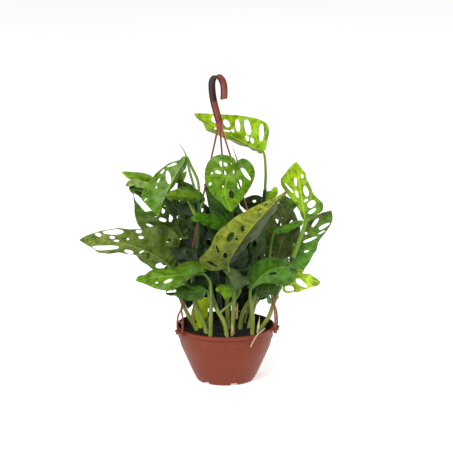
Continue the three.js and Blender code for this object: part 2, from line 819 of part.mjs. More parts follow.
        rim: [
          [[284, 276], [290, 271], [299, 270], [306, 273], [313, 277.3]],
          [[283, 284], [283.5, 290.8], [293, 292], [303, 289], [312, 286]],
        ],
        holes: ['00020', '03330'], from: 1, via: [],
      },
    ],
  },
  {
    name: 'shoot_front_right',
    soil: [41, -18],
    stem: [[252.5, 318, -22], [250, 296, -36]],
    leaves: [
      {
        base: [250.5, 289, -50], tip: [296, 268, -82], bow: [-3, -9, -6], back: [12, -6],
        rim: [
          [[248.5, 286], [247.5, 276.5], [254, 264.8], [267, 258], [281, 258.7], [291, 263.5]],
          [[253, 288], [258, 282.3], [266, 280.8], [277, 283.8], [288, 284], [295.5, 276]],
        ],
        holes: ['000000', '000100'], from: 1, via: [],
      },
      {
        base: [256, 292, -36], tip: [277, 289, -46], back: [6, 3],
        rim: [
          [[256, 287], [262, 281.5], [270, 281.5], [276, 285]],
          [[258, 296], [264, 296], [271, 293.5], [275, 291]],
        ],
        holes: ['0000', '0000'], from: 0.75, via: [],
      },
    ],
  },
  {
    name: 'shoot_right_back',
    soil: [36, 20],
    stem: [[256, 300, 26], [264, 280, 30], [271, 268, 31]],
    leaves: [
      {
        base: [276, 260, 28], tip: [286, 204, 26], bow: [3, 0, 0], back: [8, 8],
        rim: [
          [[273, 260], [263, 259], [256.5, 244], [256, 228], [263, 213], [274, 204]],
          [[279, 260.5], [289, 260.5], [296.5, 247], [300, 233], [297, 219], [292, 209]],
        ],
        holes: ['111020', '110100'], from: 1, via: [],
      },
      {
        base: [282, 213, 46], tip: [299.5, 203, 36], back: [4, -2],
        rim: [
          [[280, 210], [279.5, 201], [284, 194.5], [291, 199.3]],
          [[281, 217], [285, 217.5], [290, 214], [295, 208]],
        ],
        holes: ['0000', '0000'], from: 0.95, via: [[276, 240, 50]],
      },
      {
        base: [275, 231, 18], tip: [303.5, 221, 6], bow: [0, 1, 0], back: [3, 0],
        rim: [
          [[277, 228], [285, 227.3], [292, 223.8], [298, 221.2]],
          [[277, 233.5], [284, 233], [291, 229.5], [298, 226]],
        ],
        holes: ['0000', '0000'], from: 1, via: [[270, 250, 22]],
      },
    ],
  },
  {
    name: 'shoot_rear_left',
    soil: [-34, 44],
    stem: [[205, 290, 62], [206, 262, 74], [205, 240, 80]],
    leaves: [
      {
        base: [203, 236, 86], tip: [183, 190, 100], half: 34, lean: [10, 20],
        holes: ['0100', '0020'], from: 1, via: [],
      },
      {
        base: [196, 264, 84], tip: [160, 272, 118], half: 32, lean: [-40, 40],
        holes: ['0020', '0020'], from: 0.7, via: [],
      },
    ],
  },
  {
    name: 'shoot_rear_middle',
    soil: [2, 48],
    stem: [[228, 290, 74], [226, 262, 88], [226, 240, 92]],
    leaves: [
      {
        base: [226, 238, 104], tip: [228, 192, 118], half: 36, lean: [16, 16],
        holes: ['0000', '0000'], from: 1, via: [],
      },
      {
        base: [232, 262, 110], tip: [246, 270, 190], half: 36, lean: [-10, 10], fromAbove: true,
        holes: ['0320', '0320'], from: 0.8, via: [],
      },
      {
        base: [226, 288, 94], tip: [213, 254, 90], half: 34, lean: [14, 16],
        holes: ['0000', '0000'], from: 0.5, via: [],
      },
    ],
  },
  {
    name: 'shoot_rear_right',
    soil: [32, 46],
    stem: [[249, 308, 54], [256, 290, 84], [262, 272, 96], [266, 256, 100]],
    leaves: [
      {
        base: [271, 252, 104], tip: [297, 232, 118], half: 30, lean: [14, 24],
        holes: ['0100', '0020'], from: 1, via: [],
      },
      {
        base: [262, 284, 104], tip: [282, 288, 150], half: 32, lean: [20, -40],
        holes: ['0220', '0220'], from: 0.7, via: [],
      },
      {
        base: [254, 296, 66], tip: [249, 256, 72], half: 27, lean: [10, 10],
        holes: ['0000', '0000'], from: 0.35, via: [],
      },
    ],
  },
];

function shootShape(shoot) {
  const [x, y] = shoot.soil;
  const foot = new THREE.Vector3(x, y, SOIL_CROWN - 2);
  const peg = upright(PEG_RADIUS, SOIL_CROWN - PEG_DEPTH, SOIL_CROWN + 3, foot, STEM_SIDES);
  const route = [foot, ...shoot.stem.map(seen)];
  const stemCurve = new THREE.CatmullRomCurve3(route);
  const pieces = [peg, rod(route, STEM_RADIUS, STEM_SIDES, Math.ceil(route.length * 1.4))];
  for (const leaf of shoot.leaves) {
    const rib = ribOf(leaf);
    const start = stemCurve.getPoint(leaf.from);
    const stalk = [start, ...leaf.via.map(seen), rib.getPoint(0), rib.getPoint(0.07)];
    pieces.push(rod(stalk, leaf.stalk ?? STALK_RADIUS, STALK_SIDES, 2 + leaf.via.length));
    pieces.push(bladeShape(leaf));
  }
  for (const spear of shoot.spears ?? []) {
    pieces.push(spearShape([stemCurve.getPoint(spear.from), ...spear.points.map(seen)]));
  }
  pieces.push(...(shoot.roots ?? []));
  return largestBody(joined(pieces));
}

// A young leaf, still rolled up into a thin point
function spearShape(points) {
  const last = points[points.length - 1];
  const before = points[points.length - 2];
  const stalk = rod(points.slice(0, -1), STALK_RADIUS, 5, points.length * 2 - 2);
  const length = last.distanceTo(before);
  const cone = new THREE.ConeGeometry(STALK_RADIUS * 1.2, length + 4, 5);
  cone.translate(0, length / 2 - 2, 0);
  const heading = last.clone().sub(before).normalize();
  cone.applyQuaternion(new THREE.Quaternion().setFromUnitVectors(new THREE.Vector3(0, 1, 0), heading));
  cone.translate(before.x, before.y, before.z);
  return stalk.add(solid(cone));
}

function stemHole(shoot) {
  const [x, y] = shoot.soil;
  const bottom = SOIL_CROWN - PEG_DEPTH - CLEARANCE;
  const top = SOIL_CROWN + 9;
  return upright(PEG_RADIUS + HOLE_GAP, bottom, top, new THREE.Vector3(x, y, 0), STEM_SIDES);
}

// Label and air root

// A stake with a wide head, leaning a little, in a plain slot in the soil
function labelShape(grow) {
  const outline = new THREE.Shape();
  const tip = LABEL_TIP_WIDTH / 2 + grow;
  const head = LABEL_WIDTH / 2 + grow;
  outline.moveTo(-tip, -grow);
  outline.lineTo(tip, -grow);
  outline.lineTo(tip, LABEL_STAKE_HEIGHT);
  outline.lineTo(head, LABEL_STAKE_HEIGHT + 8);
  outline.lineTo(head, LABEL_HEIGHT);
  outline.lineTo(-head, LABEL_HEIGHT);
  outline.lineTo(-head, LABEL_STAKE_HEIGHT + 8);
  outline.lineTo(-tip, LABEL_STAKE_HEIGHT);
  outline.closePath();
  const depth = LABEL_THICKNESS + 2 * grow;
  const geometry = new THREE.ExtrudeGeometry(outline, { depth, bevelEnabled: false });
  geometry.translate(0, 0, -depth / 2);
  geometry.rotateZ(radians(LABEL_LEAN_DEG));
  geometry.rotateX(Math.PI / 2);
  geometry.rotateZ(radians(LABEL_TURN_DEG));
  geometry.translate(LABEL_X, LABEL_Y, SOIL_CROWN - LABEL_BURIED);
  return solid(geometry);
}

// An air root that leaves the right shoot's foot, crosses the rim and hangs outside
function airRootShape() {
  const route = [
    new THREE.Vector3(54, 4, SOIL_CROWN + 1),
    new THREE.Vector3(53, -18, SOIL_CROWN + 6),
    around(71, -49, POT_HEIGHT + 3.2),
    around(77.5, -54, POT_HEIGHT + 0.6),
    around(78.5, -58, POT_HEIGHT - 8),
    around(77.5, -61, POT_HEIGHT - 17),
  ];
  return rod(route, AIR_ROOT_RADIUS, 5, 14);
}

// Materials

const plastic = new THREE.MeshStandardMaterial({ color: 0x8f4a36, roughness: 0.42, metalness: 0 });
const hangerPlastic = new THREE.MeshStandardMaterial({ color: 0x7d3f31, roughness: 0.38, metalness: 0 });
const compost = new THREE.MeshStandardMaterial({ color: 0x1f1510, roughness: 0.95, metalness: 0 });
const labelPlastic = new THREE.MeshStandardMaterial({ color: 0xc4f000, roughness: 0.45, metalness: 0 });
const foliage = new THREE.MeshStandardMaterial({ color: 0x4f8a1e, roughness: 0.4, metalness: 0 });
const youngFoliage = new THREE.MeshStandardMaterial({ color: 0x8fbf1f, roughness: 0.4, metalness: 0 });

const plant = new THREE.Group();
plant.add(named('pot', potShape(), plastic));
plant.add(named('soil', soilShape([...SHOOTS.map(stemHole), labelShape(HOLE_GAP)]), compost));
plant.add(named('label', labelShape(0), labelPlastic));
plant.add(named('hanger', hangerShape(), hangerPlastic));
for (const shoot of SHOOTS) {
  plant.add(named(shoot.name, shootShape(shoot), shoot.young ? youngFoliage : foliage));
}

plant.position.set(-HOOK_X, 0, -(HOOK_TOP - HOOK_THICKNESS));

export default plant;
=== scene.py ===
# %% [markdown]
# # A young Monstera acuminata in a hanging pot
#
# The object is a house plant of some forty leaves with long holes, in a brown plastic
# pot that hangs from a hook on three plastic strands. The solids of the pot, the soil,
# the hanger, the label and each leafy shoot are loaded first as a fixed frame. A piece
# that stands for a solid keeps its place and its size, and adds what the solid leaves out.

# %% The frame
import math
import random

import bpy
from mathutils import Matrix, Vector, noise
from mathutils.geometry import delaunay_2d_cdt


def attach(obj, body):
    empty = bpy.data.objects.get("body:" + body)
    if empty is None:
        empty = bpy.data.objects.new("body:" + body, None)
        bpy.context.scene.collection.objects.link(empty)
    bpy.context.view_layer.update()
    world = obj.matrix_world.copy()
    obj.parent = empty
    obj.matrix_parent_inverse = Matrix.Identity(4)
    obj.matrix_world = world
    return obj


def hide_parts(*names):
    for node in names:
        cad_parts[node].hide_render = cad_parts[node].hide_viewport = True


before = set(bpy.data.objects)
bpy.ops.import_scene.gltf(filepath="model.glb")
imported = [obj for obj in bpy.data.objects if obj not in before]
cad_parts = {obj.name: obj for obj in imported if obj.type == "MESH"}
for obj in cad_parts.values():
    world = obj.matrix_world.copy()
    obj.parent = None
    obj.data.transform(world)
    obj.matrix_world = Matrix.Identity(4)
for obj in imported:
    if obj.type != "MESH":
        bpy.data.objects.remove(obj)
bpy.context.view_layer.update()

print("nodes in the frame:", len(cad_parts))

# %% [markdown]
# ## Sizes and places
#
# Lengths of the plant are in millimetres from the centre of the pot's foot, because a
# pot is easiest to measure from there, and those of the studio are in metres. The
# frame's own origin is the point inside the hook where the pot hangs, so one function
# moves a point into the frame and turns it into metres.

# %% Millimetres from the foot
MM = 0.001
FOOT_IN_FRAME = Vector((11.5, 0, -472.5))


def place(point):
    """A point in millimetres from the pot's foot, as metres in the frame."""
    return (Vector(point) + FOOT_IN_FRAME) * MM


def around(radius, degrees, height):
    """A point on a circle round the pot's axis."""
    turn = math.radians(degrees)
    return Vector((radius * math.cos(turn), radius * math.sin(turn), height))


def select_only(piece):
    """An operator works on all that is selected, so everything else is deselected first."""
    bpy.ops.object.select_all(action="DESELECT")
    piece.select_set(True)
    bpy.context.view_layer.objects.active = piece


def settle():
    """Moves the active object's place, turn and size into its mesh."""
    bpy.ops.object.transform_apply(location=True, rotation=True, scale=True)


# %% [markdown]
# ## Camera
#
# The pot was photographed from far away with a long lens, looking down by about 15
# degrees, so the rim is a flat ellipse and almost nothing shrinks with distance. Ten
# metres away and a lens of 519 mm give the same view.

# %% Camera
VIEW_DOWN_DEG = 15
CAMERA_DISTANCE = 10
CAMERA_LENS = 519.4
CAMERA_REACH = 60
LOOKED_AT = Vector((0.01303, 0.0598, -0.2492))

view_down = math.radians(VIEW_DOWN_DEG)
away = Vector((0, math.cos(view_down), -math.sin(view_down)))
bpy.ops.object.camera_add(
    location=LOOKED_AT - away * CAMERA_DISTANCE,
    rotation=(math.pi / 2 - view_down, 0, 0),
)
camera = bpy.context.object
camera.data.lens = CAMERA_LENS
camera.data.clip_end = CAMERA_REACH
bpy.context.scene.camera = camera
print("camera at", [round(value, 3) for value in camera.location])

# %% [markdown]
# ## Colours and nodes
#
# Colours are written as sRGB hex values, as a colour picker shows them, and shaders
# work in linear light, so one function turns one into the other. Another small
# function adds a node with its settings and links, and gives back the output that the
# next node needs, which keeps each material short.

# %% Colours and nodes
def linear(code):
    """An sRGB hex colour as the linear values that shaders work in."""
    parts = [int(code[i : i + 2], 16) / 255 for i in (1, 3, 5)]
    return [p / 12.92 if p <= 0.04045 else ((p + 0.055) / 1.055) ** 2.4 for p in parts] + [1.0]


def socket(sockets, name=None):
    """The shown socket of that name, or the first: a Mix node has hidden ones too."""
    return next(one for one in sockets if one.enabled and name in (one.name, None))


def add_node(tree, kind, inputs=(), output=None, **settings):
    """Adds a node, sets its properties, sets or joins its inputs, and returns an output."""
    node = tree.nodes.new(kind)
    for name, value in settings.items():
        setattr(node, name, value)
    for name, value in dict(inputs).items():
        # Both inputs of a Math node have the same name, so they are given by number
        target = node.inputs[name] if isinstance(name, int) else socket(node.inputs, name)
        if isinstance(value, bpy.types.NodeSocket):
            tree.links.new(value, target)
        else:
            target.default_value = value
    return socket(node.outputs, output)


def new_material(name, **inputs):
    """A named material, its node tree and its shader with some inputs set."""
    material = bpy.data.materials.new(name)
    material.use_nodes = True
    tree = material.node_tree
    shader = tree.nodes["Principled BSDF"]
    for socket_name, value in inputs.items():
        shader.inputs[socket_name.replace("_", " ")].default_value = value
    return material, tree, shader


# %% [markdown]
# ## Floor and light
#
# A studio picture of a plant on white has one large soft light beside the camera, which
# lights the leaves from the front, and weak ones at the edges. Bright paper fills what
# is left. The leaves hide each other from all of it, so the inside of the plant stays
# dark. A white world would do this alone, but it puts a white sheen on every leaf, so
# the world is weak here and the paper has a little light of its own.

# %% Floor and light
FLOOR_HEIGHT = -0.6  # millimetres, just under the foot
FLOOR_SIZE = 60
PAPER_CLOUD = 1 / 3
PAPER_GLOW = 0.6
WORLD_STRENGTH = 0.22

bpy.ops.mesh.primitive_plane_add(size=FLOOR_SIZE, location=place((0, 0, FLOOR_HEIGHT)))
floor = bpy.context.object
floor.name = "floor"
settle()
# Matt paper shows no highlight, only a faint cloudiness a third of a metre wide
paper, tree, shader = new_material("white studio paper", Roughness=0.9, IOR=1.5)
position = add_node(tree, "ShaderNodeTexCoord", output="Object")
cloud = add_node(tree, "ShaderNodeTexNoise", {"Vector": position, "Scale": 1 / PAPER_CLOUD})
white = add_node(tree, "ShaderNodeMix", {
    "Factor": cloud, "A": linear("#F2F2F1"), "B": linear("#F8F8F7"),
}, data_type="RGBA")
tree.links.new(white, shader.inputs["Base Color"])
tree.links.new(white, shader.inputs["Emission Color"])
shader.inputs["Emission Strength"].default_value = PAPER_GLOW
floor.data.materials.append(paper)

# Place in metres, size in metres, power in watts
LIGHTS = {
    "key": ((-0.9, -2.5, 1.5), 1.2, 76),
    "fill": ((2.2, -1.9, 0.5), 1.6, 6),
    "top": ((0.1, 0.3, 2.2), 1.2, 24),
    "left_edge": ((-2.2, 0.9, 0.0), 1.4, 4),
    "right_edge": ((2.2, 0.9, 0.0), 1.4, 26),
}
for name, (spot, size, power) in LIGHTS.items():
    toward = LOOKED_AT - Vector(spot)
    bpy.ops.object.light_add(
        type="AREA", location=spot, rotation=toward.to_track_quat("-Z", "Y").to_euler()
    )
    light = bpy.context.object
    light.name = f"{name}_light"
    light.data.size = size
    light.data.energy = power

world = bpy.data.worlds.new("weak studio light")
world.use_nodes = True
background = world.node_tree.nodes["Background"]
background.inputs["Color"].default_value = linear("#FFFFFF")
background.inputs["Strength"].default_value = WORLD_STRENGTH
bpy.context.scene.world = world
bpy.context.scene.view_settings.view_transform = "Standard"
print("lights:", ", ".join(LIGHTS))

# %% [markdown]
# ## Pot
#
# The pot is injection-moulded polypropylene: a bowl that flares from a notched foot to
# a step, a plain collar and a rim band. It could be a turned profile, but a thrower's
# way is easier to follow: a disc is the floor, and its edge is extruded ring by ring,
# up the outside, over the rim and down the inside, until a last face closes the floor.
# Notches, drain holes and the ears' holes are then cut, and a bevel rounds every edge.
# The profile below is a radius and a height for each ring.

# %% Profile of the pot
RIM_RADIUS = 75
POT_HEIGHT = 85
POT_SIDES = 144
UNDERSIDE = [(36.5, 3.5), (37, 3.3), (38, 0.2), (38.6, 0)]
BODY = [
    (43.1, 0), (43.7, 0.4), (45.6, 4.2), (48.5, 9.5), (51.4, 15.7), (54.2, 22.1), (57, 28.5),
    (60, 35.3), (63.2, 42.3), (66.2, 49), (68.4, 54.6), (69.9, 60.8), (70.7, 66.4),
]
COLLAR = [(71.8, 66.9), (72.3, 67.2), (72.5, 68), (72.3, 77.2), (72.3, 78.2), (74.7, 78.8)]
BAND = [(75, 79.5), (75, 84.2), (74.5, 84.8), (73.9, 85), (72.8, 85), (72.3, 84.6)]
INSIDE = [
    (70.7, 78.2), (70.3, 77.4), (69.5, 66.8), (67.4, 57), (64.5, 49), (58.2, 35),
    (52.4, 22), (47.6, 11.5), (44.9, 6.2), (44.2, 5.5),
]


def throw_pot():
    """The pot's shell, one ring after another."""
    first = UNDERSIDE[0]
    bpy.ops.mesh.primitive_circle_add(
        vertices=POT_SIDES, radius=first[0] * MM, fill_type="NGON", location=place((0, 0, first[1]))
    )
    settle()
    shell = bpy.context.object
    bpy.ops.object.mode_set(mode="EDIT")
    bpy.ops.mesh.select_all(action="SELECT")
    bpy.ops.mesh.region_to_loop()
    centre = place((0, 0, 0))
    last = first
    for radius, height in UNDERSIDE[1:] + BODY + COLLAR + BAND + INSIDE:
        wider = radius / last[0]
        bpy.ops.mesh.extrude_edges_move(
            TRANSFORM_OT_translate={"value": (0, 0, (height - last[1]) * MM)}
        )
        bpy.ops.transform.resize(value=(wider, wider, 1), center_override=centre)
        last = (radius, height)
    bpy.ops.mesh.edge_face_add()
    bpy.ops.mesh.select_all(action="SELECT")
    bpy.ops.mesh.normals_make_consistent(inside=False)
    bpy.ops.object.mode_set(mode="OBJECT")
    return shell


pot = throw_pot()
pot.name = "plant_pot"
print("pot shell faces:", len(pot.data.polygons))

# %% [markdown]
# Ears, notches and holes are made with two simple tools, a turned block and an upright
# rod. A boolean joins a tool to the shell, as the mould makes them one, or cuts its
# shape away.

# %% Blocks, rods and booleans
def block(size, centre, turn_deg):
    """A box of that size in millimetres, turned about its own upright axis."""
    turn = math.radians(turn_deg)
    bpy.ops.mesh.primitive_cube_add(
        size=1, location=place(centre), scale=Vector(size) * MM, rotation=(0, 0, turn)
    )
    settle()
    return bpy.context.object


def pin(radius, bottom, top, centre, sides=20):
    """An upright rod between two heights."""
    middle = (centre[0], centre[1], (bottom + top) / 2)
    bpy.ops.mesh.primitive_cylinder_add(
        vertices=sides, radius=radius * MM, depth=(top - bottom) * MM, location=place(middle)
    )
    settle()
    return bpy.context.object


def combine(piece, tool, operation):
    """Joins the tool to the piece, or cuts it away, and removes it."""
    select_only(piece)
    boolean = piece.modifiers.new(operation.lower(), "BOOLEAN")
    boolean.operation = operation
    boolean.object = tool
    boolean.solver = "EXACT"
    bpy.ops.object.modifier_apply(modifier=boolean.name)
    bpy.data.objects.remove(tool)


# %% [markdown]
# The three ears are flat tabs that stand out from the rim and carry the clips of the
# hanger. Each is a block with bevelled edges and two upright holes.

# %% Ears
EAR_ANGLES_DEG = [208, 350, 82]
EAR_RADIUS = 78.5
EAR_WIDTH = 24
EAR_DEPTH = 7
EAR_THICKNESS = 3
EAR_BELOW_RIM = 1
EAR_OVERLAP = 1.5
EAR_ROUNDING = 1.4
CLIP_HALF_WIDTH = 8.5
CLIP_HOLE_RADIUS = 2
CLIP_HOLE_SPAN = (73, 89)


def on_ear(angle, along, outward, height):
    """A point on an ear: along the rim, and outward from the ear's hole line."""
    return around(EAR_RADIUS + outward, angle, height) + around(along, angle + 90, 0)


ear_middle = POT_HEIGHT - EAR_BELOW_RIM - EAR_THICKNESS / 2
inner = RIM_RADIUS - EAR_OVERLAP
outer = EAR_RADIUS + EAR_DEPTH / 2
for angle in EAR_ANGLES_DEG:
    ear = block(
        (outer - inner, EAR_WIDTH, EAR_THICKNESS),
        around((inner + outer) / 2, angle, ear_middle),
        angle,
    )
    bevel = ear.modifiers.new("round corners", "BEVEL")
    bevel.width = EAR_ROUNDING * MM
    bevel.segments = 3
    bpy.ops.object.modifier_apply(modifier=bevel.name)
    combine(pot, ear, "UNION")
    for side in (-1, 1):
        spot = on_ear(angle, side * CLIP_HALF_WIDTH, 0, 0)
        combine(pot, pin(CLIP_HOLE_RADIUS, *CLIP_HOLE_SPAN, spot), "DIFFERENCE")
print("pot faces with ears:", len(pot.data.polygons))

# %% [markdown]
# Six notches let water run out from under the foot, and behind each is a round drain
# hole in the floor.

# %% Notches and drain holes
NOTCHES = 6
NOTCH_SIZE = (16, 12, 6.8)
NOTCH_RING = 40.75
FIRST_NOTCH_DEG = -72
DRAIN_RING = 26
DRAIN_RADIUS = 4
DRAIN_SPAN = (1, 7)

for index in range(NOTCHES):
    angle = FIRST_NOTCH_DEG - index * 360 / NOTCHES
    combine(pot, block(NOTCH_SIZE, around(NOTCH_RING, angle, 0), angle), "DIFFERENCE")
    combine(pot, pin(DRAIN_RADIUS, *DRAIN_SPAN, around(DRAIN_RING, angle, 0)), "DIFFERENCE")
print("pot faces after cutting:", len(pot.data.polygons))

# %% [markdown]
# A bevel of a third of a millimetre gives the moulded edges their thin highlight. It
# only touches edges sharper than 35 degrees, so the curve of the bowl stays as it is.

# %% Rounded edges of the pot
SHARP_DEG = 35
SMOOTH_DEG = 40
POT_EDGE = 0.3


def round_edges(piece, width, segments=2):
    """Rounds the sharp edges of a piece and shades the rest smooth."""
    select_only(piece)
    bevel = piece.modifiers.new("round edges", "BEVEL")
    bevel.width = width * MM
    bevel.segments = segments
    bevel.limit_method = "ANGLE"
    bevel.angle_limit = math.radians(SHARP_DEG)
    bevel.use_clamp_overlap = True
    bpy.ops.object.modifier_apply(modifier=bevel.name)
    bpy.ops.object.shade_smooth_by_angle(angle=math.radians(SMOOTH_DEG))


round_edges(pot, POT_EDGE)
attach(pot, "root")
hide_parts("pot")

# %% [markdown]
# Moulded polypropylene is satin: its skin copies the fine spark grain of the mould. A
# terracotta pigment gives the colour, and the flow of the melt leaves soft upright
# streaks some 9 mm wide. Handling scuffs it paler in small spots. Its IOR is 1.49 and
# its roughness 0.45, which gives the broad highlight. The specular level is lowered
# until that highlight is as weak as on a slightly dusty pot. The faces inside the pot
# lie in shade, and a second, darker and duller colouring of the same plastic paints
# that shade on them.

# %% Moulded polypropylene
SCUFF_SIZE = 6.25
SPARK_SIZE = 0.6
SCUFF_COLOUR = "#B0705C"
STREAK_LENGTHENING = 0.15


def polypropylene(name, base, shade, roughness, streak_mm):
    """Satin plastic with faint upright flow marks and a fine grain."""
    material, tree, shader = new_material(name, IOR=1.49, Specular_IOR_Level=0.3)
    position = add_node(tree, "ShaderNodeTexCoord", output="Object")
    upright = add_node(tree, "ShaderNodeMapping", {
        "Vector": position, "Scale": (1, 1, STREAK_LENGTHENING),
    })
    flow = add_node(tree, "ShaderNodeTexNoise", {
        "Vector": upright, "Scale": 1 / (streak_mm * MM), "Detail": 3.0,
    })
    scuffs = add_node(tree, "ShaderNodeTexNoise", {
        "Vector": position, "Scale": 1 / (SCUFF_SIZE * MM), "Detail": 5.0,
    })
    worn = add_node(tree, "ShaderNodeMapRange", {
        "Value": scuffs, "From Min": 0.58, "From Max": 0.75, "To Max": 0.1,
    })
    streaked = add_node(tree, "ShaderNodeMix", {
        "Factor": flow, "A": linear(shade), "B": linear(base),
    }, data_type="RGBA")
    colour = add_node(tree, "ShaderNodeMix", {
        "Factor": worn, "A": streaked, "B": linear(SCUFF_COLOUR),
    }, data_type="RGBA")
    gloss = add_node(tree, "ShaderNodeMapRange", {
        "Value": scuffs, "To Min": roughness - 0.06, "To Max": roughness + 0.08,
    })
    # Spark grain is about 0.1 mm, drawn at 0.6 mm so that it shows
    spark = add_node(tree, "ShaderNodeTexNoise", {"Vector": position, "Scale": 1 / (SPARK_SIZE * MM)})
    bump = add_node(tree, "ShaderNodeBump", {"Height": spark, "Strength": 0.12, "Distance": 0.2 * MM})
    tree.links.new(colour, shader.inputs["Base Color"])
    tree.links.new(gloss, shader.inputs["Roughness"])
    tree.links.new(bump, shader.inputs["Normal"])
    return material


def finish_with(piece, *materials):
    """Gives a piece its materials, the first of them on every face."""
    piece.data.materials.clear()
    for material in materials:
        piece.data.materials.append(material)


# The second colouring, dark and dull, is painted shade for the inside of the pot and the crease under
# the band
finish_with(
    pot,
    polypropylene("moulded polypropylene, terracotta", "#803418", "#6A260E", 0.45, 9),
    polypropylene("polypropylene with painted shade", "#3A1810", "#24100A", 0.7, 9),
)

# %% [markdown]
# The faces that get the painted shade are found by their normals: an inside face
# looks toward the pot's axis. The crease under the rim band, which lies in shade, gets
# the painted shade too.

# %% Painted shade inside the pot
CREASE = (77.3, 78.3)
LOOKS_INWARD = -0.3

axis = place((0, 0, 0))
painted_shade_faces = 0
# Painted shade: inside faces and the crease under the rim band take the dark colouring
for face in pot.data.polygons:
    outward = face.center - axis
    inside_face = outward.xy.dot(face.normal.xy) < LOOKS_INWARD * outward.xy.length
    if inside_face or CREASE[0] < outward.z / MM < CREASE[1]:
        face.material_index = 1
        painted_shade_faces += 1
print("faces of the pot with painted shade:", painted_shade_faces)

# %% [markdown]
# ## Compost
#
# Potting compost is damp peat with bits of bark. A fine grid is drawn in to a disc,
# pulled up into a low mound and roughened by two noises: slow lumps and fine crumbs.
# Its edge is then extruded down along the pot's inner wall, ring by ring.

# %% The mound
SOIL_RADIUS = 70
SOIL_EDGE = 71.5
SOIL_RISE = 4.2
SOIL_GRID = 150
LUMP_HEIGHT, LUMPS_PER_MM = 2.0, 0.045
CRUMB_HEIGHT, CRUMBS_PER_MM = 0.9, 0.28
SOIL_WALL = [(69.4, 66.5), (67.1, 57), (64.2, 49), (57.9, 35), (52.1, 22), (44.4, 6)]


def mound_height(x, y):
    """Height of the soil, highest in the middle, and even along the wall."""
    reach = math.hypot(x, y) / SOIL_RADIUS
    lump = noise.noise(Vector((x, y, 0)) * LUMPS_PER_MM) * LUMP_HEIGHT
    crumb = noise.noise(Vector((x, y, 30)) * CRUMBS_PER_MM) * CRUMB_HEIGHT
    rough = (lump + crumb) * min(1, 5 * (1 - reach))
    return SOIL_EDGE + SOIL_RISE * (1 - reach * reach) + rough


bpy.ops.mesh.primitive_grid_add(
    x_subdivisions=SOIL_GRID, y_subdivisions=SOIL_GRID, size=2 * SOIL_RADIUS * MM,
    location=place((0, 0, 0)),
)
settle()
soil = bpy.context.object
soil.name = "compost_bed"
for vertex in soil.data.vertices:
    spot = (vertex.co - axis) / MM
    # A square grid becomes a disc when each ring of it is drawn in to a circle
    ring = max(abs(spot.x), abs(spot.y))
    length = math.hypot(spot.x, spot.y)
    if length > 0:
        spot *= ring / length
    vertex.co = place((spot.x, spot.y, mound_height(spot.x, spot.y)))
bpy.ops.object.mode_set(mode="EDIT")
bpy.ops.mesh.select_all(action="SELECT")
bpy.ops.mesh.region_to_loop()
for radius, height in SOIL_WALL:
    bpy.ops.mesh.extrude_edges_move(TRANSFORM_OT_translate={"value": (0, 0, 0)})
    bpy.ops.object.mode_set(mode="OBJECT")
    for vertex in soil.data.vertices:
        if vertex.select:
            spot = (vertex.co - axis) / MM
            out = Vector((spot.x, spot.y)).normalized() * radius
            vertex.co = place((out.x, out.y, height))
    bpy.ops.object.mode_set(mode="EDIT")
bpy.ops.mesh.edge_face_add()
bpy.ops.mesh.select_all(action="SELECT")
bpy.ops.mesh.normals_make_consistent(inside=False)
bpy.ops.object.mode_set(mode="OBJECT")
bpy.ops.object.shade_smooth()
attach(soil, "root")
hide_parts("soil")
print("soil faces:", len(soil.data.polygons))

# %% [markdown]
# Loose crumbs lie on the mound. One small ball of twenty faces is modelled, and copies
# of it are squashed, turned and scattered in code, because a few hundred of them need
# few faces each and one mesh together.

# %% Loose crumbs
CRUMBS = 420
CRUMB_RING = 67
CRUMB_SEED = 7

chance = random.Random(CRUMB_SEED)
bpy.ops.mesh.primitive_ico_sphere_add(subdivisions=1, radius=MM, location=axis)
settle()
crumb = bpy.context.object
corners = [vertex.co - axis for vertex in crumb.data.vertices]
faces = [list(face.vertices) for face in crumb.data.polygons]
bpy.data.objects.remove(crumb)
points = []
triangles = []
for _ in range(CRUMBS):
    reach = CRUMB_RING * math.sqrt(chance.random())
    turn = chance.uniform(0, 360)
    spot = around(reach, turn, 0)
    size = chance.uniform(0.7, 2.1)
    stretch = (chance.uniform(0.6, 1.5), chance.uniform(0.6, 1.4), chance.uniform(0.4, 0.9))
    spin = math.radians(chance.uniform(0, 360))
    middle = place((spot.x, spot.y, mound_height(spot.x, spot.y) + size * 0.2))
    first = len(points)
    for corner in corners:
        x, y, z = (corner[i] * stretch[i] * size for i in range(3))
        points.append(middle + Vector((
            x * math.cos(spin) - y * math.sin(spin), x * math.sin(spin) + y * math.cos(spin), z,
        )))
    triangles.extend([first + index for index in face] for face in faces)
mesh = bpy.data.meshes.new("compost_crumbs")
mesh.from_pydata(points, [], triangles)
crumbs = bpy.data.objects.new("compost_crumbs", mesh)
bpy.context.collection.objects.link(crumbs)
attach(crumbs, "root")
print("crumb faces:", len(mesh.polygons))

# %% [markdown]
# Damp compost is nearly black between its crumbs and dark brown on them, with a few
# paler fibres. Crumbs are about 3 mm across. Water makes it a little less matt than dry
# soil, so the roughness is 0.85 rather than 1.

# %% Damp potting compost
CRUMB_SIZE = 3
FIBRE_SPACING = 2.2

compost, tree, shader = new_material("damp potting compost", Roughness=0.85, IOR=1.45)
position = add_node(tree, "ShaderNodeTexCoord", output="Object")
lumps = add_node(tree, "ShaderNodeTexNoise", {
    "Vector": position, "Scale": 1 / (CRUMB_SIZE * MM), "Detail": 6.0, "Roughness": 0.65,
})
fibres = add_node(tree, "ShaderNodeTexVoronoi", {
    "Vector": position, "Scale": 1 / (FIBRE_SPACING * MM),
})
on_crumb = add_node(tree, "ShaderNodeMapRange", {"Value": lumps, "From Min": 0.35, "From Max": 0.7})
on_fibre = add_node(tree, "ShaderNodeMapRange", {
    "Value": fibres, "From Min": 0.2, "From Max": 0.05, "To Max": 0.6,
})
peat = add_node(tree, "ShaderNodeMix", {
    "Factor": on_crumb, "A": linear("#070504"), "B": linear("#1E140E"),
}, data_type="RGBA")
colour = add_node(tree, "ShaderNodeMix", {
    "Factor": on_fibre, "A": peat, "B": linear("#5C3423"),
}, data_type="RGBA")
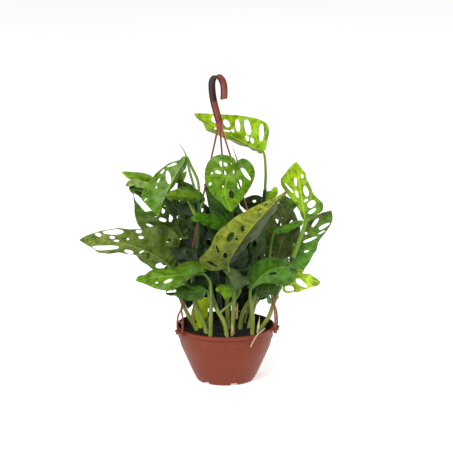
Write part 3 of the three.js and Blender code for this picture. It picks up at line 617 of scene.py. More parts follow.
bump = add_node(tree, "ShaderNodeBump", {"Height": lumps, "Strength": 0.9, "Distance": 1.5 * MM})
tree.links.new(colour, shader.inputs["Base Color"])
tree.links.new(bump, shader.inputs["Normal"])
for piece in (soil, crumbs):
    finish_with(piece, compost)

# %% [markdown]
# ## Hanger
#
# The hanger is one moulding: a flat hook with a rib along each edge, a short neck, and
# three thin strands that end in stirrups with two knobbed legs. The legs snap through
# the ears of the pot. Rods that bend are curves with a round bevel, turned into meshes.

# %% Smooth paths and rods
def between(b, c, leave, arrive, part):
    """A point of a span from b to c that leaves and arrives in the given directions."""
    square, cube = part * part, part**3
    return (
        b * (2 * cube - 3 * square + 1) + leave * (cube - 2 * square + part)
        + c * (3 * square - 2 * cube) + arrive * (cube - square)
    )


def path_point(points, part):
    """A point on the smooth curve through all points, at a fraction of its spans."""
    last = len(points) - 1
    step = min(int(part * last), last - 1)
    along = part * last - step
    b, c = points[step], points[step + 1]
    a = points[step - 1] if step > 0 else b * 2 - c
    d = points[step + 2] if step + 2 <= last else c * 2 - b
    # Spans are weighted by the root of their length, so that the curve never loops
    ab, bc, cd = [max((q - p).length, 1e-4) ** 0.5 for p, q in ((a, b), (b, c), (c, d))]
    leave = ((b - a) / ab - (c - a) / (ab + bc) + (c - b) / bc) * bc
    arrive = ((c - b) / bc - (d - b) / (bc + cd) + (d - c) / cd) * bc
    return between(b, c, leave, arrive, along)


def smooth_path(points, per_span):
    """Close points along the smooth curve through the given ones."""
    spans = len(points) - 1
    count = spans * per_span
    return [path_point(points, index / count) for index in range(count + 1)]


def rod(name, points, radii, roundness=2):
    """A round rod through the points, with a radius at each, both in millimetres."""
    curve = bpy.data.curves.new(name, "CURVE")
    curve.dimensions = "3D"
    curve.bevel_depth = MM
    curve.bevel_resolution = roundness
    curve.use_fill_caps = True
    spline = curve.splines.new("POLY")
    spline.points.add(len(points) - 1)
    for spot, point, radius in zip(spline.points, points, radii):
        spot.co = (*place(point), 1)
        spot.radius = radius
    piece = bpy.data.objects.new(name, curve)
    bpy.context.collection.objects.link(piece)
    select_only(piece)
    bpy.ops.object.convert(target="MESH")
    return bpy.context.object


SEAM = 0.01


def join(name, pieces):
    """Joins the pieces into one mesh, closes its seams and names it."""
    select_only(pieces[0])
    for piece in pieces:
        piece.select_set(True)
    bpy.ops.object.join()
    whole = bpy.context.object
    whole.name = name
    bpy.ops.object.mode_set(mode="EDIT")
    bpy.ops.mesh.select_all(action="SELECT")
    bpy.ops.mesh.remove_doubles(threshold=SEAM * MM)
    bpy.ops.object.mode_set(mode="OBJECT")
    return whole


# %% [markdown]
# The hook is a flat strap on edge with a rib along each side, like a small girder. A
# curve with a bevel profile would twist at the crown, so the same twelve-cornered
# section is set along the route by code, always square to the plane of the hook.

# %% Hook
HOOK_TOP = 476.5
HOOK_THICKNESS = 4
HOOK_WIDTH = 11
HOOK_X = -11.5
HOOK_TURN_DEG = -50
NECK_TOP = 404
NECK_BOTTOM = 391
RIB_WIDTH = 1.5
WEB_THICKNESS = 2.0
HOOK_EDGE = 0.35
HOOK_ROUTE = [
    (14, -33), (14.8, -22), (13.4, -10.5), (8, -2.6), (0, 0), (-8, -2.6),
    (-13.4, -10.5), (-14, -22), (-10.5, -39), (-3, -57), (4, -72.5),
]

hook_turn = math.radians(HOOK_TURN_DEG)
hook_across = Vector((math.cos(hook_turn), math.sin(hook_turn), 0))
hook_sideways = Vector((-hook_across.y, hook_across.x, 0))


def hook_point(across, height):
    """A point in the plane of the hook."""
    return Vector((HOOK_X, 0, height)) + hook_across * across


def hook_strap():
    """The ribbed strap, as rings of one section along the route."""
    half, deep = HOOK_WIDTH / 2, HOOK_THICKNESS / 2
    rib, web = half - RIB_WIDTH, WEB_THICKNESS / 2
    section = [
        (-half, -deep), (-rib, -deep), (-rib, -web), (rib, -web), (rib, -deep), (half, -deep),
        (half, deep), (rib, deep), (rib, web), (-rib, web), (-rib, deep), (-half, deep),
    ]
    crown = HOOK_TOP - HOOK_THICKNESS / 2
    route = smooth_path([hook_point(across, crown + drop) for across, drop in HOOK_ROUTE], 7)
    points = []
    for index, spot in enumerate(route):
        ahead = route[min(index + 1, len(route) - 1)] - route[max(index - 1, 0)]
        outward = ahead.cross(hook_sideways).normalized()
        points += [place(spot + hook_sideways * side + outward * out) for side, out in section]
    count = len(section)
    faces = []
    for ring in range(len(route) - 1):
        for corner in range(count):
            beside = (corner + 1) % count
            here, there = ring * count, (ring + 1) * count
            faces.append((here + corner, here + beside, there + beside, there + corner))
    faces.append(tuple(range(count))[::-1])
    faces.append(tuple(range(len(points) - count, len(points))))
    mesh = bpy.data.meshes.new("hook")
    mesh.from_pydata(points, [], faces)
    strap = bpy.data.objects.new("hook", mesh)
    bpy.context.collection.objects.link(strap)
    select_only(strap)
    bpy.ops.object.mode_set(mode="EDIT")
    bpy.ops.mesh.select_all(action="SELECT")
    bpy.ops.mesh.normals_make_consistent(inside=False)
    bpy.ops.object.mode_set(mode="OBJECT")
    return strap


hook = hook_strap()
round_edges(hook, HOOK_EDGE)
print("hook faces:", len(hook.data.polygons))

# %% [markdown]
# Below the hook the strap runs into a short neck that widens upward. It is a cone of
# sixteen sides, and an inset and an extrusion of its top give it a collar. The strands
# leave from under it.

# %% Neck
NECK_FOOT_RADIUS = 4.6
NECK_HEAD_RADIUS = 6
NECK_ACROSS = 4
COLLAR_INSET = 1.2
COLLAR_HEIGHT = 1.6
NECK_EDGE = 0.5
UPWARD = 0.9

neck_foot = hook_point(NECK_ACROSS, NECK_BOTTOM)
bpy.ops.mesh.primitive_cone_add(
    vertices=16, radius1=NECK_FOOT_RADIUS * MM, radius2=NECK_HEAD_RADIUS * MM,
    depth=(NECK_TOP - NECK_BOTTOM) * MM,
    location=place((neck_foot.x, neck_foot.y, (NECK_TOP + NECK_BOTTOM) / 2)),
)
settle()
neck = bpy.context.object
bpy.ops.object.mode_set(mode="EDIT")
bpy.ops.mesh.select_all(action="DESELECT")
bpy.ops.object.mode_set(mode="OBJECT")
for face in neck.data.polygons:
    face.select = face.normal.z > UPWARD
bpy.ops.object.mode_set(mode="EDIT")
bpy.ops.mesh.select_mode(type="FACE")
bpy.ops.mesh.inset(thickness=COLLAR_INSET * MM)
bpy.ops.mesh.extrude_region_move(TRANSFORM_OT_translate={"value": (0, 0, COLLAR_HEIGHT * MM)})
bpy.ops.object.mode_set(mode="OBJECT")
round_edges(neck, NECK_EDGE)
print("neck faces:", len(neck.data.polygons))

# %% [markdown]
# A strand hangs nearly straight from the neck to its stirrup, with a little bow outward
# where the leaves push it. A stirrup is one bent rod, down through the ear, with a
# cross bar and a knob under each hole that keeps it from slipping out.

# %% Strands and stirrups
STRAND_RADIUS = 1.4
STRAND_THICKENING = 0.5
STRAND_RING, STRAND_RISE = 2.6, 5
BOW_ABOVE, BOW_BELOW = 1.5, 2
CLIP_APEX = 116
CLIP_BAR_HEIGHT = 99
CLIP_BAR_RADIUS = 1.1
CLIP_LEAN = -2
KNOB_RADIUS = 2.8
KNOB_SPAN = (-0.6, 2.8)
KNOB_EDGE = 0.8
LEG_FOOT = 77.8

hanger_pieces = [hook, neck]
for angle in EAR_ANGLES_DEG:
    top = neck_foot + around(STRAND_RING, angle, STRAND_RISE)
    end = on_ear(angle, 0, CLIP_LEAN, CLIP_APEX - 0.5)
    upper = top.lerp(end, 0.3) + around(BOW_ABOVE, angle, 0)
    lower = top.lerp(end, 0.7) + around(BOW_BELOW, angle, 0)
    strand = smooth_path([top, upper, lower, end], 10)
    # Molten plastic has to flow in, so a strand is thickest at the neck and the stirrup
    count = len(strand) - 1
    from_middle = [abs(index / count - 0.5) * 2 for index in range(count + 1)]
    widths = [STRAND_RADIUS + STRAND_THICKENING * part**6 for part in from_middle]
    hanger_pieces.append(rod("strand", strand, widths))
    leg = [
        (CLIP_HALF_WIDTH, LEG_FOOT, 0),
        (CLIP_HALF_WIDTH, POT_HEIGHT, 0),
        (CLIP_HALF_WIDTH * 1.05, CLIP_BAR_HEIGHT - 3, 0),
        (CLIP_HALF_WIDTH * 0.8, CLIP_APEX - 8, -1),
    ]
    loop = [on_ear(angle, -along, out, height) for along, height, out in leg]
    loop.append(on_ear(angle, 0, CLIP_LEAN, CLIP_APEX))
    loop += [on_ear(angle, along, out, height) for along, height, out in leg[::-1]]
    stirrup = smooth_path(loop, 7)
    hanger_pieces.append(rod("stirrup", stirrup, [STRAND_RADIUS] * len(stirrup)))
    bar = [on_ear(angle, side * CLIP_HALF_WIDTH, 0, CLIP_BAR_HEIGHT) for side in (-1, 1)]
    hanger_pieces.append(rod("bar", bar, [CLIP_BAR_RADIUS] * 2))
    for side in (-1, 1):
        spot = on_ear(angle, side * CLIP_HALF_WIDTH, 0, LEG_FOOT)
        knob = pin(KNOB_RADIUS, *[LEG_FOOT + end for end in KNOB_SPAN], spot, sides=16)
        round_edges(knob, KNOB_EDGE, segments=3)
        hanger_pieces.append(knob)
hanger = join("hook_and_strands", hanger_pieces)
select_only(hanger)
bpy.ops.object.shade_smooth_by_angle(angle=math.radians(SMOOTH_DEG))
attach(hanger, "root")
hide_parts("hanger")
print("hanger faces:", len(hanger.data.polygons))

# %% [markdown]
# The hanger is moulded from the same kind of plastic as the pot, in a redder brown, and
# it is a little glossier because nothing scuffs it. The faces of the hook that look
# left, and those inside the crown, lie in shade, so they get a darker colouring that
# is painted shade.

# %% Plastic of the hanger
LOOKS_LEFT = -0.45
CROWN_DEPTH = 42
CROWN_ACROSS = -5
LOOKS_ACROSS = 0.3

# The second colouring is painted shade for the faces of the hook that lie in shade
finish_with(
    hanger,
    polypropylene("moulded polypropylene, red brown", "#8E4636", "#733326", 0.28, 6),
    polypropylene("polypropylene with painted shade on the hook", "#3A1713", "#260E0B", 0.4, 6),
)
hook_axis = place((HOOK_X, 0, 0))
# Painted shade: faces that look left and faces inside the crown take the dark colouring
for face in hanger.data.polygons:
    spot = (face.center - hook_axis) / MM
    turned_left = spot.z > NECK_TOP and face.normal.x < LOOKS_LEFT
    near_crown = spot.z > HOOK_TOP - CROWN_DEPTH and spot.dot(hook_across) < CROWN_ACROSS
    if turned_left or (near_crown and face.normal.dot(hook_across) > LOOKS_ACROSS):
        face.material_index = 1
print("faces of the hook with painted shade:", sum(face.material_index for face in hanger.data.polygons))

# %% [markdown]
# ## Leaves
#
# The leaves are what makes this plant: long ovals with a heart-shaped base and a row of
# oval holes between the side veins of each half. Extruding and cutting by hand gives
# straight-edged holes, so each blade is drawn flat first and then bent by code. Flat,
# every half is a fan of side veins. A place on it is a row, which counts the veins from
# the base to the tip, and a reach from 0 at the midrib to 1 at the margin.

# %% Flat shape of a blade
VEIN_CROWDING = 1.9
USUAL_ROWS = 4
MARGIN = [
    Vector(p) for p in
    [(0.4, -0.14), (0.9, -0.05), (1, 0.19), (0.86, 0.43), (0.58, 0.64), (0.25, 0.83), (0, 1)]
]


def along_curve(points, part):
    """A point of the smooth curve through some points, at a part of its spans."""
    last = len(points) - 1
    step = min(max(int(part * last), 0), last - 1)
    along = part * last - step
    b, c = points[step], points[step + 1]
    a, d = points[max(step - 1, 0)], points[min(step + 2, last)]
    return between(b, c, (c - a) / 2, (d - b) / 2, along)


def row_count(leaf):
    """How many gaps between side veins each half has."""
    return len(leaf["holes"][0]) if "holes" in leaf else leaf.get("rows", USUAL_ROWS)


def vein_start(leaf, row):
    """Where a side vein starts on the midrib, as a part of its length."""
    return max(0, row / row_count(leaf)) ** VEIN_CROWDING


def flat_point(leaf, row, reach):
    """Where a row and a reach lie on the flat half blade."""
    start = vein_start(leaf, row)
    edge = along_curve(MARGIN, row / row_count(leaf))
    return Vector((edge.x * reach, start + (edge.y - start) * reach))


# %% [markdown]
# The leaves at the front have their own outlines, measured in the front view as `rim`, a
# list of margin points for each half. Their holes are known by where they are in that
# view, so the row and reach of a point of it have to be found. A guess is made better in
# a few Newton steps: each looks how the point moves with the row and with the reach.

# %% From the front view to a place on the blade
NEWTON_STEPS = 8
NUDGE = 1e-3
FLATTEST = 1e-6
ROW_MARGIN = 0.03
REACH_LIMITS = (0.035, 0.955)


def view_point(leaf, side, row, reach):
    """Where a place of a blade with a rim shows in the front view, across and down."""
    base, tip = Vector(leaf["base"][:2]), Vector(leaf["tip"][:2])
    middle = (base + tip) / 2 + Vector(leaf.get("bow", (0, 0, 0))[:2]) * 2
    start = vein_start(leaf, row)
    rest = 1 - start
    on_rib = base * rest * rest + middle * 2 * rest * start + tip * start * start
    edge = along_curve(leaf["outlines"][side > 0], row / row_count(leaf))
    return on_rib.lerp(edge, reach)


def place_at(leaf, side, spot, guess):
    """The row and reach that show at a spot of the front view, from a first guess."""
    row, reach = guess
    for _ in range(NEWTON_STEPS):
        here = view_point(leaf, side, row, reach)
        by_row = (view_point(leaf, side, row + NUDGE, reach) - here) / NUDGE
        by_reach = (view_point(leaf, side, row, reach + NUDGE) - here) / NUDGE
        area = by_row.cross(by_reach)
        if abs(area) < FLATTEST:
            break
        miss = spot - here
        row = max(row + miss.cross(by_reach) / area, ROW_MARGIN)
        row = min(row, row_count(leaf) - ROW_MARGIN)
        reach = max(reach + by_row.cross(miss) / area, REACH_LIMITS[0])
        reach = min(reach, REACH_LIMITS[1])
    return row, reach


# %% [markdown]
# A cut is the middle, length, width and turn of one hole of a front leaf. Hidden leaves
# get a hole in some of the gaps between their veins instead: 0 is none, and 1 to 3 are a
# small, a middle and a large one, with now and then a tiny one beside the midrib.

# %% Holes of a blade
HOLE_SIZES = {"1": (0.36, 0.62, 0.17), "2": (0.26, 0.76, 0.25), "3": (0.2, 0.88, 0.33)}
SMALL_HOLE = (0.07, 0.15, 0.13)
SMALL_HOLE_SHARE = 0.6
HOLE_POINTS = 24
HOLE_SQUARENESS = 0.85
LARGEST_MISS = 0.6


def oval(length, width):
    """Points round an oval that is a little squarer than an ellipse."""
    points = []
    for index in range(HOLE_POINTS):
        turn = 2 * math.pi * index / HOLE_POINTS
        c, s = math.cos(turn), math.sin(turn)
        x = math.copysign(abs(c) ** HOLE_SQUARENESS, c) * length / 2
        points.append(Vector((x, math.copysign(abs(s) ** HOLE_SQUARENESS, s) * width / 2)))
    return points


def cut_rim(leaf, side, cut):
    """Rows and reaches round a hole that is given in the front view, if this half has it."""
    across, down, length, width, turn = cut
    middle = Vector((across, down))
    guesses = [(row + 0.5, reach / 8) for row in range(row_count(leaf)) for reach in range(1, 8)]
    guess = min(guesses, key=lambda spot: (view_point(leaf, side, *spot) - middle).length)
    centre = place_at(leaf, side, middle, guess)
    if (view_point(leaf, side, *centre) - middle).length > LARGEST_MISS:
        return None
    turned = Matrix.Rotation(math.radians(turn), 2)
    rim = [middle + turned @ point for point in oval(length, width)]
    return [place_at(leaf, side, spot, centre) for spot in rim]


def holes_of(leaf, side, luck):
    """The rims of the holes of one half, as rows and reaches."""
    if "cuts" in leaf:
        return [rim for rim in (cut_rim(leaf, side, cut) for cut in leaf["cuts"]) if rim]
    rims = []
    for row, size in enumerate(leaf["holes"][side > 0] if "holes" in leaf else ""):
        spans = []
        if size != "0":
            start, end, half = HOLE_SIZES[size]
            middle = row + 0.5 + luck.uniform(-0.03, 0.03)
            spans.append((middle, start, end, half * luck.uniform(0.86, 1.04)))
        if row > 0 and size in "23" and luck.random() < SMALL_HOLE_SHARE:
            spans.append((row + 0.5 + luck.uniform(-0.1, 0.1), *SMALL_HOLE))
        for middle, start, end, half in spans:
            centre = Vector((middle, (start + end) / 2))
            rims.append([tuple(centre + Vector((p.y, p.x))) for p in oval(end - start, 2 * half)])
    return rims


# %% [markdown]
# A fan with holes has no regular grid, so the flat half is filled with triangles: its
# outline and the rims of the holes are fixed edges, the grid points fill the rest, and
# a Delaunay triangulation joins them. Faces inside a hole are left out.

# %% Triangles of a half blade
REACHES = [0.02, 0.045, 0.1, 0.2, 0.31, 0.42, 0.53, 0.64, 0.75, 0.86, 0.94]
STEPS_PER_ROW = 6
TYPICAL_HALF = 30
CLEAR_OF_RIM = 1.1


def inside(point, loop):
    """Whether a flat point lies inside a closed loop of flat points."""
    odd = False
    for (x1, y1), (x2, y2) in zip(loop, loop[1:] + loop[:1]):
        if (y1 > point[1]) != (y2 > point[1]):
            if point[0] < (x2 - x1) * (point[1] - y1) / (y2 - y1) + x1:
                odd = not odd
    return odd


def near_hole(spot, rim):
    """Whether a flat point lies in a hole or too close to its rim."""
    return inside(spot, rim) or min((point - spot).length for point in rim) < CLEAR_OF_RIM


def half_blade(leaf, side, luck):
    """Places (row, reach) and triangles of one half."""
    count = row_count(leaf) * STEPS_PER_ROW
    length = (seen(leaf["tip"]) - seen(leaf["base"])).length
    scale = Vector((leaf.get("half", TYPICAL_HALF) * side, length))
    levels = [index / STEPS_PER_ROW for index in range(count + 1)]
    outline = [(row, 0) for row in levels] + [(row, 1) for row in levels[-2::-1]]
    outline += [(0, reach) for reach in REACHES[::-1]]
    places = list(outline)
    edges = [(i, (i + 1) % len(outline)) for i in range(len(outline))]
    flat = [flat_point(leaf, *spot) * scale for spot in places]
    rims = []
    for rim in holes_of(leaf, side, luck):
        first = len(places)
        places += rim
        flat += [flat_point(leaf, *spot) * scale for spot in rim]
        edges += [(first + i, first + (i + 1) % len(rim)) for i in range(len(rim))]
        rims.append((first, first + len(rim)))
    for row in levels[1:-1]:
        for reach in REACHES:
            spot = flat_point(leaf, row, reach) * scale
            if not any(near_hole(spot, flat[first:last]) for first, last in rims):
                places.append((row, reach))
                flat.append(spot)
    _, _, faces, sources, _, _ = delaunay_2d_cdt(flat, edges, [], 1, 1e-4)
    origin = [source[0] if source else None for source in sources]
    triangles = []
    for face in faces:
        corners = [origin[index] for index in face]
        if None in corners or len(set(corners)) < 3:
            continue
        dropped = False
        for first, last in rims:
            if all(first <= corner < last for corner in corners):
                middle = sum((flat[corner] for corner in corners), Vector((0, 0))) / 3
                dropped = inside(middle, flat[first:last])
        if not dropped:
            triangles.append(corners)
    return places, triangles


# %% [markdown]
# ## Bending a blade into place
#
# The leaves are placed by what the front view shows: a point is so many steps across
# and down in it, and so deep behind the pot's axis. The midrib is a curve from base to
# tip through that space.

# %% From the front view to the frame
STEP_SIZE = 1.53
FOOT_ACROSS = 225.5
FOOT_DOWN = 377.6


def seen(spot):
    """A point of the front view, at a depth behind the pot's axis, from the pot's foot."""
    across, down, depth = spot
    up = (FOOT_DOWN - down) * STEP_SIZE
    height = (up - depth * math.sin(view_down)) / math.cos(view_down)
    return Vector(((across - FOOT_ACROSS) * STEP_SIZE, depth, height))


def rib_point(leaf, along):
    """A point of the midrib, which bows away from the straight line."""
    base, tip = seen(leaf["base"]), seen(leaf["tip"])
    right, down, back = leaf.get("bow", (0, 0, 0))
    level = seen((FOOT_ACROSS, FOOT_DOWN, 0))
    bend = seen((FOOT_ACROSS + right, FOOT_DOWN + down, back)) - level
    middle = (base + tip) / 2 + bend * 2
    rest = 1 - along
    return base * rest * rest + middle * 2 * rest * along + tip * along * along


def heading_at(leaf, along):
    """The direction of the midrib."""
    return (rib_point(leaf, along + 0.01) - rib_point(leaf, along - 0.01)).normalized()


# %% [markdown]
# A half with a given margin arches from the midrib to it. The others lean from the
# midrib by their own angles, as the two sides of an open book do, and droop.

# %% Bent halves
ARCH = 8
DROOP = 5
SINUS_PART = 0.15
QUILT = 2.2
RIPPLE = 1.5


def rimmed_point(leaf, side, row, reach, lift):
    """A point of a blade whose margin is given: it arches from the midrib to the margin."""
    start, part = vein_start(leaf, row), row / row_count(leaf)
    on_rib = rib_point(leaf, start)
    across, down = along_curve(leaf["outlines"][side > 0], part)
    behind = leaf["back"][side > 0] * math.sin(math.pi * (SINUS_PART + (1 - SINUS_PART) * part))
    edge = seen((across, down, on_rib.y + behind))
    face_up = ((edge - on_rib).cross(heading_at(leaf, start)) * side).normalized()
    return on_rib.lerp(edge, reach) + face_up * (lift + ARCH * reach * (1 - reach))


def blade_point(leaf, side, flat, lift):
    """A point of a blade of the usual outline: each half leans by its own angle."""
    along = flat.y
    heading = heading_at(leaf, along)
    view = Vector((0, 0, -1)) if leaf.get("from_above") else away
    back = (view - heading * view.dot(heading)).normalized()
    right = back.cross(heading)
    lean = math.radians(leaf["lean"][side > 0])
    outward = right * side * math.cos(lean) + back * math.sin(lean)
    face_up = outward.cross(heading) * side
    droop = DROOP * flat.x * flat.x
    return rib_point(leaf, along) + outward * leaf["half"] * flat.x + face_up * (lift - droop)


def bent_halves(leaf, luck):
    """Points of both halves, their places on the blade, and triangles between them."""
    known, spots, places, triangles = {}, [], [], []
    wave = luck.uniform(0, 2 * math.pi)
    for side in (-1, 1):
        half_places, half_triangles = half_blade(leaf, side, luck)
        index_of = []
        for row, reach in half_places:
            flat = flat_point(leaf, row, reach)
            # Both halves share the points of the midrib
            key = (round(flat.x * side, 5), round(flat.y, 5))
            if key not in known:
                # The blade is puffed up between its veins and ripples at the margin
                lift = QUILT * math.sin(math.pi * row) ** 2 * min(1, 1.6 * reach)
                lift += RIPPLE * reach * reach * math.sin(3.7 * row + 2 * side + wave)
                known[key] = len(spots)
                if "rim" in leaf:
                    spots.append(rimmed_point(leaf, side, row, reach, lift))
                else:
                    spots.append(blade_point(leaf, side, flat, lift))
                places.append((row, reach, flat, side))
            index_of.append(known[key])
        triangles += [tuple(index_of[corner] for corner in face) for face in half_triangles]
    return spots, places, triangles


# %% [markdown]
# The blade gets an upper and a lower skin with a narrow rim between them, so that its
# edges show their thickness, and the midrib stands out more from the underside. Its
# tint, a little paler below, and its veins are stored on the mesh for the material.

# %% Skins of a blade
BLADE_THICKNESS = 0.7
RIB_THICKNESS = 1.9
RIB_HALF_WIDTH = 1.5
RIB_ON_TOP = 0.35
UNDERSIDE_SHARE = 0.12
UNDERSIDE_TINT = Vector(linear("#9DB489")[:3])


def normals_of(spots, triangles):
    """The direction in which the blade faces at each of its points."""
    normals = [Vector((0, 0, 0)) for _ in spots]
    for a, b, c in triangles:
        normal = (spots[b] - spots[a]).cross(spots[c] - spots[a])
        for corner in (a, b, c):
            normals[corner] += normal
    return [normal.normalized() for normal in normals]


def skins(leaf, spots, places, triangles):
    """Points, tints and vein rows of the upper and then the lower skin."""
    points, tints, rows = [], [], []
    # Two colours, from base to tip, or two for each half; a difference between the halves is painted
    # light and shade
    colours = [Vector(linear(code)[:3]) for code in leaf["tint"]]
    half_width = leaf.get("half", TYPICAL_HALF)
    normals = normals_of(spots, triangles)
    for face in (1, -1):
        for spot, normal, (row, reach, flat, side) in zip(spots, normals, places):
            inward = min(1, flat.x * half_width / RIB_HALF_WIDTH)
            rib = (RIB_THICKNESS - flat.y - BLADE_THICKNESS) * (1 - inward * inward)
            raised = rib * (RIB_ON_TOP if face > 0 else 1 - RIB_ON_TOP)
            points.append(place(spot + normal * face * (BLADE_THICKNESS / 2 + raised)))
            base, tip = colours[-2:] if side > 0 else colours[:2]
            tint = base.lerp(tip, min(1, max(0, flat.y)))
            if face < 0:
                tint = tint.lerp(UNDERSIDE_TINT, UNDERSIDE_SHARE)
            tints.append((*tint, 1))
            rows.append((row, reach))
    return points, tints, rows


def blade_mesh(name, leaf, luck):
    """The whole blade as a thin closed mesh, with its tint and its veins stored on it."""
    if "rim" in leaf:
        tip = [leaf["tip"][:2]]
        leaf["outlines"] = [[Vector(spot) for spot in list(half) + tip] for half in leaf["rim"]]
    spots, places, triangles = bent_halves(leaf, luck)
    points, tints, rows = skins(leaf, spots, places, triangles)
    count = len(spots)
    edges = {(a, b) for t in triangles for a, b in ((t[0], t[1]), (t[1], t[2]), (t[2], t[0]))}
    faces = list(triangles) + [(c + count, b + count, a + count) for a, b, c in triangles]
    # An edge that only one triangle has lies on the margin or round a hole
    faces += [(a, a + count, b + count, b) for a, b in edges if (b, a) not in edges]
    mesh = bpy.data.meshes.new(name)
    mesh.from_pydata(points, [], faces)
    stored = mesh.attributes.new("tint", "FLOAT_COLOR", "POINT")
    stored.data.foreach_set("color", [value for tint in tints for value in tint])
    layer = mesh.uv_layers.new(name="veins")
    corners = [loop.vertex_index for loop in mesh.loops]
    layer.data.foreach_set("uv", [value for corner in corners for value in rows[corner]])
    blade = bpy.data.objects.new(name, mesh)
    bpy.context.collection.objects.link(blade)
    return blade


# %% [markdown]
# ## Stems, stalks and rolled leaves
#
# A stem is a rod that swells a little at each joint, where an older leaf once stood,
# and a stalk narrows from the stem to the blade and runs on into the midrib. A young
# leaf is still rolled up into a long point. All three are rods with changing radii. A
# tint is stored on each, which the finish of the stems reads.

# %% Stems and stalks
SOIL_CROWN = 76
PEG_DEPTH = 20
STEM_RADIUS = 3.3
STEM_TAPER = (1.06, 0.16)
STALK_RADIUS = 2.1
STALK_TAPER = (1.05, 0.45)
JOINT_SPACING = 24
JOINT_SWELL = 0.45
ROLL_RADIUS = 1.5
ROLL_SWELL = 0.6
ROLL_POINT = 0.25


def paint(piece, low, high, fade=None):
    """Stores a tint on a rod, from its lowest to its highest point or over a fade length."""
    heights = [vertex.co.z for vertex in piece.data.vertices]
    bottom, top = min(heights), max(heights)
    if fade:
        top = bottom + fade * MM
    first, last = Vector(linear(low)[:3]), Vector(linear(high)[:3])
    stored = piece.data.attributes.new("tint", "FLOAT_COLOR", "POINT")
    for value, height in zip(stored.data, heights):
        part = min(1, (height - bottom) / max(top - bottom, 1e-6))
        value.color = (*first.lerp(last, part), 1)


def stem_rod(route):
    """The stem: a rod with a soft ring at each joint."""
    path = smooth_path(route, 8)
    radii, walked = [], 0
    for index, spot in enumerate(path):
        walked += (spot - path[index - 1]).length if index else 0
        joint = max(0, math.cos(2 * math.pi * walked / JOINT_SPACING)) ** 12
        taper = STEM_TAPER[0] - STEM_TAPER[1] * index / len(path)
        radii.append(STEM_RADIUS * taper + JOINT_SWELL * joint)
    return rod("stem", path, radii, roundness=3)


def stalk_rod(leaf, start):
    """A stalk from its stem to the blade, that ends in the midrib."""
    route = [start] + [seen(spot) for spot in leaf.get("via", [])]
    path = smooth_path(route + [rib_point(leaf, along) for along in (0, 0.07)], 7)
    count = len(path) - 1
    thick = leaf.get("stalk", STALK_RADIUS)
    wide, less = STALK_TAPER
    radii = [thick * (wide - less * (index / count) ** 3) for index in range(count + 1)]
    return rod("stalk", path, radii, roundness=3)


def rolled_leaf(points):
    """A leaf that is still rolled up: widest in its lower third, with a fine point."""
    path = smooth_path(points, 9)
    count = len(path) - 1
    radii = []
    for index in range(count + 1):
        part = index / count
        swell = ROLL_SWELL * math.sin(math.pi * min(1, part * 1.35)) if part < 0.74 else 0
        radii.append(max(ROLL_POINT, (ROLL_RADIUS + swell) * (1 - part**3)))
    return rod("rolled_leaf", path, radii, roundness=3)


# %% [markdown]
# ## The leafy shoots
#
# Each shoot is a stem from the soil with a few leaves. Its points give across, down and
# depth in the front view, and `soil` is where it stands, in millimetres from the pot's
# axis. A leaf has a `base` and a `tip`, between which `bow` bends its midrib. Its stalk
# leaves the stem at the part `starts`, or at its end, and passes the points of `via`,
# and `stalk` is the radius of a thicker one. `tint` holds the colours at base and tip,
# for the whole leaf or for each half.
#
# A leaf at the front has a `rim`, and `back` tells how far behind the midrib the margin
# of each half lies. Any other leaf has a `half` width and a `lean` of each half away from
# the view. Holes are given as `cuts`, or as `holes` with a size for each gap of each
# half, and a leaf with neither has none. `rows` is the number of gaps where `holes`
# doesn't tell it. A spear is a rolled young leaf, `young` marks a pale shoot and `inner`
# one that only fills the inside.

# %% Facts of the shoots
# Where a leaf's two halves differ in tint, the difference is painted light and shade; the near-black
# tints of leaves deep inside the plant are painted shade.
SHOOTS = []


def add_shoot(name, soil, stem, **marks):
    """Starts a shoot with its stem."""
    SHOOTS.append({"name": name, "soil": soil, "stem": stem, "leaves": [], "spears": [], **marks})


def add_leaf(**facts):
    """Gives the last shoot a leaf."""
    SHOOTS[-1]["leaves"].append(facts)


def add_spear(**facts):
    """Gives the last shoot a rolled young leaf."""
    SHOOTS[-1]["spears"].append(facts)


# %% [markdown]
# The four shoots on the left are a low one with the longest leaf, one that leans over
# the rim, a tall one whose leaf hangs down, and one behind them with the widest hole.

# %% Low shoot on the left
add_shoot("shoot_left_low", soil=[-44, 3], stem=[[190, 318, 2], [183, 304, 2], [178, 290, 4]])
add_leaf(
    base=[168, 264, 4], tip=[80, 240, -10], bow=[4, -7.5, -6], back=[6, 12], rows=7,
    via=[[173, 277, 6]], tint=("#556F15", "#788A34", "#53691B", "#7B8A39"),
    rim=[
        [
            [166, 264], [160, 259.5], [150, 258.5], [135, 255], [117, 251.5], [104, 253.5],
            [93, 247.5],
        ],
        [[172, 257], [180, 241], [165, 225], [140, 229], [116, 229], [96, 232.5]],
    ],
    cuts=[
        [99, 234.8, 6.4, 3.8, 25], [113.5, 232.6, 20, 5.4, 0], [112.7, 237.9, 5.4, 3, 8],
        [117, 241, 5.6, 1.8, 0], [128, 239.8, 2.4, 2, 0], [138.8, 231.6, 5.4, 4, 0],
        [140.8, 237.8, 4.6, 2.8, 10], [163.3, 230.2, 5.6, 4.6, 90], [168.5, 240.2, 5, 2.8, -25],
        [106, 246.9, 27, 4.8, -1], [129.5, 250.4, 9.5, 3.4, 14], [143.2, 251.2, 6.6, 2.2, -10],
        [148.6, 254.6, 4.4, 3.4, 60],
    ],
)
add_leaf(
    base=[177, 258, 16], tip=[137, 255.5, 12], back=[6, 4], starts=0.9, via=[[182, 276, 14]],
    tint=("#536F06", "#5C8009"),
    rim=[
        [[176, 262], [171, 269], [162, 271], [154, 269.5], [145, 263]],
        [[178, 252], [172, 247], [161, 246], [150, 249]],
    ],
    cuts=[[161.3, 264.6, 11.4, 6, -5], [166, 258.4, 3, 2, 60]],
)

